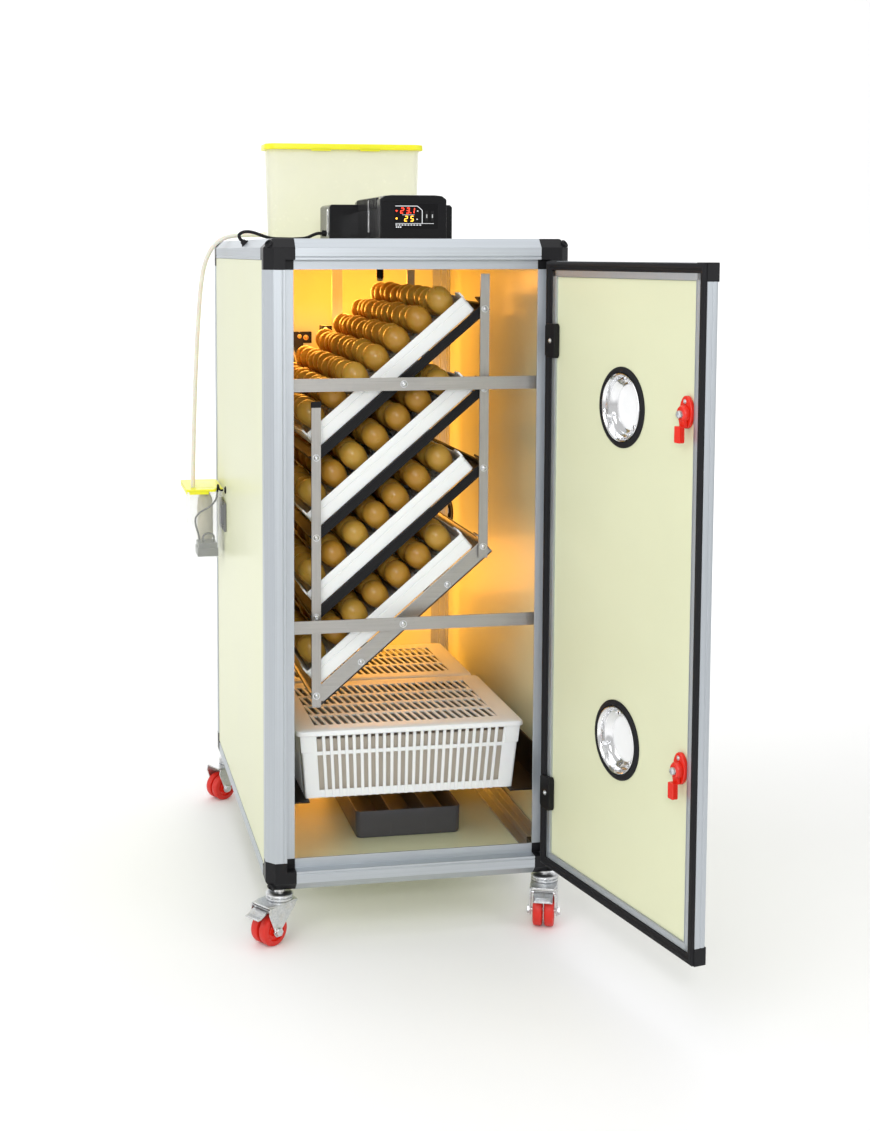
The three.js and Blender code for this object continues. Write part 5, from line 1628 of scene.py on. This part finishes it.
class IncubatorController(bpy.types.Operator):
    """Makes the controller with its display"""
    bl_idname = "incubator.controller"
    bl_label = "Controller"

    def execute(self, context):
        self.case()
        self.face()
        for side in ("left", "right"):
            dress("button_" + side, finish_of(black_plastic))
            low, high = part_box("button_" + side)
            mark = Form()
            middle = (low + high) / 2 - CORNER
            mark.slab((middle.x - 0.0009, middle.x + 0.0009),
                      (low.y - CORNER.y - 0.0004, low.y - CORNER.y + 0.0001),
                      (middle.z - 0.003, middle.z + 0.003))
            mark.finish("button_mark_" + side, finish_of(moulded, "pale_print", (0.55, 0.56, 0.58)),
                        "button_" + side)
        return {"FINISHED"}

    @staticmethod
    def case():
        low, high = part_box("controller")
        floor = low.z - CORNER.z
        form = Form()
        back = 0.330
        x0, x1 = BOX_X
        outline = [(x0, floor), (x1, floor), (x1, BOX_TOP - 0.007), (x1 - 0.008, BOX_TOP - 0.0012),
                   (x1 - 0.020, BOX_TOP),
                   (x0 + 0.020, BOX_TOP), (x0 + 0.008, BOX_TOP - 0.0012), (x0, BOX_TOP - 0.007)]
        form.prism(outline, along_y, (FACE_Y + 0.0030, back))
        rim = [(u * 0.995 + 0.0000575, floor + (v - floor) * 0.992) for u, v in outline]
        form.prism(rim, along_y, (FACE_Y + 0.0005, FACE_Y + 0.0040))
        form.prism([(FACE_Y, BOX_TOP - 0.012), (FACE_Y + 0.020, BOX_TOP - 0.0040),
                    (FACE_Y + 0.020, BOX_TOP - 0.0012),
                    (FACE_Y, BOX_TOP - 0.0060)], along_x, (x0 + 0.004, x1 - 0.004))
        wing = [(-0.100, floor), (0.130, floor), (0.130, 1.160), (0.126, 1.164), (-0.096, 1.164),
                (-0.100, 1.160)]
        form.prism(wing, along_y, (0.300, 0.400))
        for i in range(16):
            y = 0.132 + 0.0115 * i
            form.prism([(y, BOX_TOP - 0.024), (y + 0.0050, BOX_TOP - 0.024), (y + 0.0050, BOX_TOP - 0.0035),
                        (y, BOX_TOP - 0.0035)],
                       along_x, (x0 - 0.0012, x0 + 0.010))
        form.rod((-0.098, 0.350, 1.112), (-0.106, 0.350, 1.112), 0.0058)
        form.finish("controller_case", finish_of(gloss_black), "cabinet", edge=0.0018, steps=3,
                    replaces=("controller",))
        strips = Form()
        strips.prism([(1.112, 0), (1.168, 0), (1.166, 0.004), (1.114, 0.004)], lambda u, v,
                     s: (x0 - 0.0012 + s, 0.200 + v, u),
                     (0, 0.003))
        strips.slab((-0.1012, -0.0990), (0.318, 0.323), (1.106, 1.156))
        strips.finish("controller_strips", finish_of(chrome), "cabinet", edge=0.0005)

    @staticmethod
    def face():
        """The dark window with two red-and-amber readings, an outline, marks and a row of icons."""
        y = FACE_Y + 0.0005
        form = Form()
        form.slab((-0.022, 0.054), (y - 0.0006, y + 0.001), (1.118, 1.160))
        form.finish("display_window", finish_of(moulded, "display_black", (0.004, 0.004, 0.005), 0.12, 200,
                                                0.02, 0.0),
                    "cabinet", edge=0.0002, steps=1)
        red = Form()
        for figure, u in (("2", -0.0115), ("3", -0.0015), ("1", 0.0075)):
            digit(red, figure, (u, 1.1440), 0.0088)
        red.slab((0.0058, 0.0070), (y - 0.0012, y - 0.0006), (1.1440, 1.1452))
        red.turned([(0, -0.0012), (0.0013, -0.0012), (0.0013, -0.0006), (0, -0.0006)], (-0.0185, y, 1.1480),
                   "Y", 16)
        red.finish("reading_red", finish_of(lamp, "lit_red", (1.0, 0.04, 0.015), 5.0), "cabinet")
        amber = Form()
        for figure, u in (("2", -0.0045), ("5", 0.0060)):
            digit(amber, figure, (u, 1.1305), 0.0084)
        amber.turned([(0, -0.0012), (0.0015, -0.0012), (0.0015, -0.0006), (0, -0.0006)],
                     (-0.0185, y, 1.1350), "Y", 16)
        amber.finish("reading_amber", finish_of(lamp, "lit_amber", (1.0, 0.42, 0.03), 5.0), "cabinet")
        white = Form()
        line = 0.0009
        depth = (y - 0.0011, y - 0.0005)
        corner = [(-0.0205, 1.1562), (0.0180, 1.1562), (0.0265, 1.1490), (0.0265, 1.1270)]
        for (u0, v0), (u1, v1) in zip(corner, corner[1:]):
            run = Vector((u1 - u0, v1 - v0))
            side = Vector((-run.y, run.x)).normalized() * line / 2
            white.prism([(u0 - side.x, v0 - side.y), (u1 - side.x, v1 - side.y), (u1 + side.x, v1 + side.y),
                         (u0 + side.x, v0 + side.y)], along_y, depth)
        white.slab((-0.0205, 0.0470), depth, (1.1262, 1.1268))
        white.slab((-0.0090, 0.0130), depth, (1.1410, 1.1415))
        for i in range(9):
            u = -0.0200 + 0.0052 * i
            white.slab((u, u + 0.0030), depth, (1.1232, 1.1246))
        for i in range(3):
            white.slab((-0.0195 + 0.0035 * i, -0.0172 + 0.0035 * i), depth, (1.1195, 1.1212))
        white.slab((0.0165, 0.0185), depth, (1.1330, 1.1345))
        white.slab((0.0175, 0.0195), depth, (1.1470, 1.1485))
        white.finish("display_marks", finish_of(lamp, "lit_white", (0.9, 0.92, 0.95), 1.2), "cabinet")


# ---------------------------------------------------------------- tank and vessel
class IncubatorTank(bpy.types.Operator):
    """Makes the milky header tank and its yellow lid"""
    bl_idname = "incubator.tank"
    bl_label = "Header tank"

    def execute(self, context):
        low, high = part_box("header_tank_lid")
        low, high = low - CORNER, high - CORNER
        x, y = (low.x + 0.007, high.x - 0.007), (low.y + 0.007, high.y - 0.007)
        z = (DECK + 0.0003, high.z - 0.0042)
        wall = 0.0022
        form = Form()
        outside = [(0.010, z[0]), (0.007, z[0] + 0.0008), (0.0055, z[0] + 0.004), (0.0005, z[1] - 0.010),
                   (0.0005, z[1])]
        inside = [(d + wall, h) for d, h in reversed(outside[2:])] + [(0.012, z[0] + 0.003)]
        form.tub([rounded(inset(x, d), inset(y, d), 0.020 - d * 0.5, h, 8) for d, h in outside + inside])
        form.turned([(0.0045, 0.0002), (0.0058, 0.0002), (0.0062, 0.0030), (0.0058, 0.0090),
                     (0.0045, 0.0095)],
                    turn=aimed(HOSE_ROUTE[0], (1, 0, 0)), segments=24)
        form.finish("tank_shell", finish_of(milky, "milky_tank", (0.93, 0.93, 0.76), 0.40, 0.42), "cabinet",
                    replaces=("header_tank",))
        lid_form = Form()
        top = high.z
        outer = (low.x, high.x), (low.y, high.y)
        levels = [(0.0035, top - 0.0118), (0.0005, top - 0.0119), (0.0, top - 0.0100),
                  (0.0004, top - 0.0015),
                  (0.0020, top - 0.0002), (0.0100, top), (0.0140, top - 0.0024), (0.0200, top - 0.0028)]
        lid_form.tub([rounded(inset(outer[0], d), inset(outer[1], d), max(0.012, 0.024 - d * 0.5), h,
                              8) for d, h in levels])
        for side in (-1, 1):
            at = (outer[0][1] + outer[0][0]) / 2 + side * 0.05
            lid_form.slab((at - 0.02, at + 0.02), (outer[1][0] + 0.001, outer[1][0] + 0.003),
                          (top - 0.0145, top - 0.009))
        lid_form.finish("tank_cover", finish_of(yellow_plastic), "tank_lid", replaces=("header_tank_lid",),
                        edge=0.0006)
        return {"FINISHED"}


class IncubatorVessel(bpy.types.Operator):
    """Makes the float vessel with its lid, hanger, pump and float"""
    bl_idname = "incubator.vessel"
    bl_label = "Float vessel"

    def execute(self, context):
        x, y, z = (-0.331, -0.263), (0.624, 0.762), (0.456, 0.594)
        form = Form()
        wall = 0.0018

        def loop(depth, height):
            drawn = 0.006 * (z[1] - height) / (z[1] - z[0])
            return rounded((x[0] + depth + drawn, x[1] - depth - drawn * 0.3), inset(y, depth + drawn),
                           0.010, height, 6)

        outside = [(0.0035, z[0]), (0.0012, z[0] + 0.0010), (0, z[0] + 0.004), (0, z[1] - 0.004), (0, z[1])]
        inside = [(d + wall, h) for d, h in reversed(outside[2:])] + [(0.006, z[0] + 0.0022)]
        form.tub([loop(d, h) for d, h in outside + inside])
        form.finish("vessel_shell", finish_of(milky, "clear_vessel", (0.86, 0.88, 0.88), 0.13, 0.08),
                    "cabinet",
                    replaces=("float_vessel",))
        clip = Form()
        clip.slab((-0.2635, -0.2588), (0.598, 0.690), (0.515, 0.573))
        clip.slab((-0.2660, -0.2590), (0.600, 0.624), (0.532, 0.570))
        for dy in (0.606, 0.618):
            clip.slab((-0.2672, -0.2600), (dy - 0.0015, dy + 0.0015), (0.528, 0.566))
        clip.finish("vessel_hanger", finish_of(moulded, "grey_clip", (0.16, 0.165, 0.17)), "cabinet",
                    edge=0.0010,
                    replaces=("float_vessel",))
        self.lid(x, y, z)
        self.pump()
        return {"FINISHED"}

    @staticmethod
    def lid(x, y, z):
        """A lid with a notch in one corner where the pump's lead comes out."""
        form = Form()
        x0, x1 = x[0] - 0.006, x[1] + 0.0012
        y0, y1 = y[0] - 0.006, y[1] + 0.006
        notch = (x[1] - 0.014, y[0] + 0.012)
        outline = [(x0 + 0.006, y0), (notch[0] - 0.002, y0), (notch[0], y0 + 0.002), (notch[0], notch[1]),
                   (x1, notch[1]),
                   (x1, y1 - 0.006), (x1 - 0.006, y1), (x0 + 0.006, y1), (x0 + 0.0018, y1 - 0.0018),
                   (x0, y1 - 0.006),
                   (x0, y0 + 0.006), (x0 + 0.0018, y0 + 0.0018)]
        form.prism(outline, along_z, (z[1] + 0.0006, z[1] + 0.0058))
        form.slab((x0 + 0.0002, x0 + 0.0020), (y0 + 0.006, y1 - 0.006), (z[1] - 0.0045, z[1] + 0.003))
        form.slab((x0 + 0.006, x1 - 0.030), (y0 + 0.0002, y0 + 0.0020), (z[1] - 0.0045, z[1] + 0.003))
        form.slab((x0 + 0.006, x1 - 0.006), (y1 - 0.0020, y1 - 0.0002), (z[1] - 0.0045, z[1] + 0.003))
        form.slab((x0 + 0.010, x1 - 0.018), (y0 + 0.022, y1 - 0.010), (z[1] + 0.005, z[1] + 0.0063))
        form.finish("vessel_cover", finish_of(yellow_plastic), "cabinet", edge=0.0012, steps=3,
                    replaces=("float_vessel_lid",))

    @staticmethod
    def pump():
        form = Form()
        form.slab((-0.3135, -0.2715), (0.6365, 0.6895), (0.4590, 0.4760))
        form.slab((-0.3115, -0.2735), (0.6385, 0.6875), (0.4760, 0.4865))
        for i in range(7):
            form.slab((-0.3132 + 0.006 * i, -0.3105 + 0.006 * i), (0.6358, 0.6375), (0.4610, 0.4740))
        form.rod((-0.309, 0.645, 0.485), (-0.309, 0.645, 0.492), 0.0032)
        form.finish("pump_block", finish_of(moulded, "pump_grey", (0.085, 0.088, 0.095), 0.3), "cabinet",
                    edge=0.0012,
                    replaces=("float_pump",))
        handle = Form()
        handle.tube([(-0.301, 0.650, 0.486), (-0.301, 0.650, 0.498), (-0.298, 0.650, 0.503),
                     (-0.290, 0.650, 0.505),
                     (-0.282, 0.650, 0.503), (-0.279, 0.650, 0.498), (-0.279, 0.650, 0.486)], 0.0022)
        handle.finish("pump_handle", finish_of(black_plastic), "cabinet")
        bell = Form()
        bell.turned([(0, 0.486), (0.0150, 0.486), (0.0165, 0.492), (0.0165, 0.550), (0.0150, 0.570),
                     (0.0090, 0.582),
                     (0.0030, 0.5855), (0, 0.586)], (-0.292, 0.700, 0), "Z", 32)
        bell.rod((-0.292, 0.700, 0.462), (-0.292, 0.700, 0.487), 0.0030)
        bell.finish("float_bell", finish_of(moulded, "float_cream", (0.52, 0.47, 0.34), 0.35, 200, 0.1),
                    "cabinet")


# ---------------------------------------------------------------- castors
WHEEL_RADIUS = 0.027
WHEEL_TRAIL = 0.025


class IncubatorCastors(bpy.types.Operator):
    """Makes the forks, twin wheels and brake pedals"""
    bl_idname = "incubator.castors"
    bl_label = "Castors"

    def execute(self, context):
        for corner in ("front_left", "front_right", "rear_left", "rear_right"):
            stem = joint_place("castor_%s_swivel" % corner)
            axle = joint_place("wheel_%s_roll" % corner)
            turn = math.atan2(axle.y - stem.y, axle.x - stem.x)
            place = Matrix.Translation((stem.x, stem.y, CORNER.z)) @ Matrix.Rotation(turn, 4, "Z")
            self.fork(corner, place)
            self.wheels(corner, place @ Matrix.Translation((WHEEL_TRAIL, 0, WHEEL_RADIUS - CORNER.z)))
            if corner.startswith("front"):
                self.pedal(corner, place @ Matrix.Translation((0.038, 0, -0.027)))
        return {"FINISHED"}

    @staticmethod
    def fork(corner, place):
        form = Form()
        form.turned([(0, -0.0003), (0.0095, -0.0003), (0.0098, -0.0045), (0.0180, -0.0050),
                     (0.0225, -0.0062), (0.0242, -0.0082),
                     (0.0240, -0.0100), (0.0205, -0.0104), (0.0205, -0.0124), (0.0236, -0.0132),
                     (0.0238, -0.0158),
                     (0.0215, -0.0178), (0, -0.0178)], (0, 0, 0), "Z", 44)
        form.prism([(-0.020, -0.0235), (0.030, -0.0235), (0.044, -0.0190), (0.044, 0.0190), (0.030, 0.0235),
                    (-0.020, 0.0235),
                    (-0.0225, 0.012), (-0.0225, -0.012)], along_z, (-0.0202, -0.0174))
        cheek = [(-0.018, -0.0195), (0.043, -0.0195), (0.0450, -0.030)]
        cheek += [(0.025 + 0.0092 * math.cos(a), -0.063 + 0.0092 * math.sin(a)) for a in
                  (0.35 - (math.pi + 0.7) * i / 12 for i in range(13))]
        cheek += [(-0.002, -0.040), (-0.0125, -0.029)]
        for y in (-0.0240, 0.0216):
            form.prism(cheek, lambda u, v, s: (u, y + s, v), (0, 0.0024))
        form.rod((0.025, -0.0245, -0.063), (0.025, 0.0245, -0.063), 0.004)
        for out in (-1, 1):
            form.prism([(0.025 + 0.0075 * math.cos(a), -0.063 + 0.0075 * math.sin(a)) for a in angles(6)],
                       along_y,
                       sorted((out * 0.0241, out * 0.0285)))
        for a in angles(18):
            form.turned([(0, -0.0020), (0.0014, -0.0014), (0.0020, 0), (0.0014, 0.0014), (0, 0.0020)],
                        (0.0206 * math.cos(a), 0.0206 * math.sin(a), -0.0114), "Z", 8)
        form.finish("fork_" + corner, finish_of(zinc), "castor_" + corner, place, 0.0006, 2,
                    replaces=("castor_fork_" + corner,))

    @staticmethod
    def wheels(corner, place):
        """Two treads side by side, with dished discs and a hub between the cheeks."""
        r = WHEEL_RADIUS
        tread = Form()
        for side in (-1, 1):
            profile = [(0.0178, 0.0020), (r - 0.0040, 0.0020), (r - 0.0012, 0.0030), (r, 0.0060),
                       (r, 0.0140),
                       (r - 0.0012, 0.0168), (r - 0.0040, 0.0182), (0.0178, 0.0180), (0.0178, 0.0020)]
            tread.turned([(a, side * b) for a, b in profile], (0, 0, 0), "Y", 48)
        tread.finish("tread_" + corner, finish_of(red_tread), "wheel_" + corner, place,
                     replaces=("castor_wheel_" + corner,))
        disc = Form()
        for side in (-1, 1):
            profile = [(0.0046, 0.0010), (0.0180, 0.0010), (0.0182, 0.0170), (0.0168, 0.0176),
                       (0.0155, 0.0150), (0.0105, 0.0142),
                       (0.0090, 0.0160), (0.0088, 0.0185), (0.0046, 0.0185), (0.0046, 0.0010)]
            disc.turned([(a, side * b) for a, b in profile], (0, 0, 0), "Y", 40)
        disc.finish("wheel_disc_" + corner, finish_of(red_plastic), "wheel_" + corner, place,
                    replaces=("castor_wheel_" + corner,))

    @staticmethod
    def pedal(corner, place):
        form = Form()
        form.prism([(-0.004, -0.0018), (0.006, -0.0022), (0.020, -0.0085), (0.0262, -0.0096),
                    (0.0270, -0.0072), (0.0210, -0.0060),
                    (0.008, 0.0010), (-0.004, 0.0018)], along_y, (-0.0165, 0.0165))
        for i in range(4):
            u = 0.0165 + 0.0028 * i
            v = -0.0048 - 0.0008 * i
            form.slab((u, u + 0.0013), (-0.0140, 0.0140), (v, v + 0.0014))
        form.rod((0, -0.0210, 0), (0, 0.0210, 0), 0.0025)
        form.finish("pedal_" + corner, finish_of(zinc), "brake_" + corner, place, 0.0005, 2,
                    replaces=("castor_brake_" + corner,))


# ---------------------------------------------------------------- panel and registration
OPERATORS = (
    IncubatorStage, IncubatorCords, IncubatorFrame, IncubatorPanels, IncubatorDoor, IncubatorWindows,
    IncubatorLatches,
    IncubatorHinges, IncubatorTraySupports, IncubatorTrays, IncubatorEggs, IncubatorFan, IncubatorCrates,
    IncubatorWaterTray, IncubatorController, IncubatorTank, IncubatorVessel, IncubatorCastors,
)


class IncubatorPanel(bpy.types.Panel):
    """Lists the incubator's pieces and settings"""
    bl_idname = "VIEW3D_PT_incubator"
    bl_label = "Egg Incubator"
    bl_space_type = "VIEW_3D"
    bl_region_type = "UI"
    bl_category = "Incubator"

    def draw(self, context):
        for group in (context.scene.incubator_sizes, context.scene.incubator_colours):
            for key in group.__annotations__:
                self.layout.prop(group, key)
        for operator in OPERATORS:
            self.layout.operator(operator.bl_idname)


CLASSES = (IncubatorColours, IncubatorSizes, *OPERATORS, IncubatorPanel)


def register():
    for cls in CLASSES:
        bpy.utils.register_class(cls)
    bpy.types.Scene.incubator_colours = bpy.props.PointerProperty(type=IncubatorColours)
    bpy.types.Scene.incubator_sizes = bpy.props.PointerProperty(type=IncubatorSizes)


def unregister():
    del bpy.types.Scene.incubator_sizes
    del bpy.types.Scene.incubator_colours
    for cls in reversed(CLASSES):
        bpy.utils.unregister_class(cls)


def main():
    register()
    for operator in OPERATORS:
        group, name = operator.bl_idname.split(".")
        getattr(getattr(bpy.ops, group), name)()


if __name__ == "__main__":
    main()
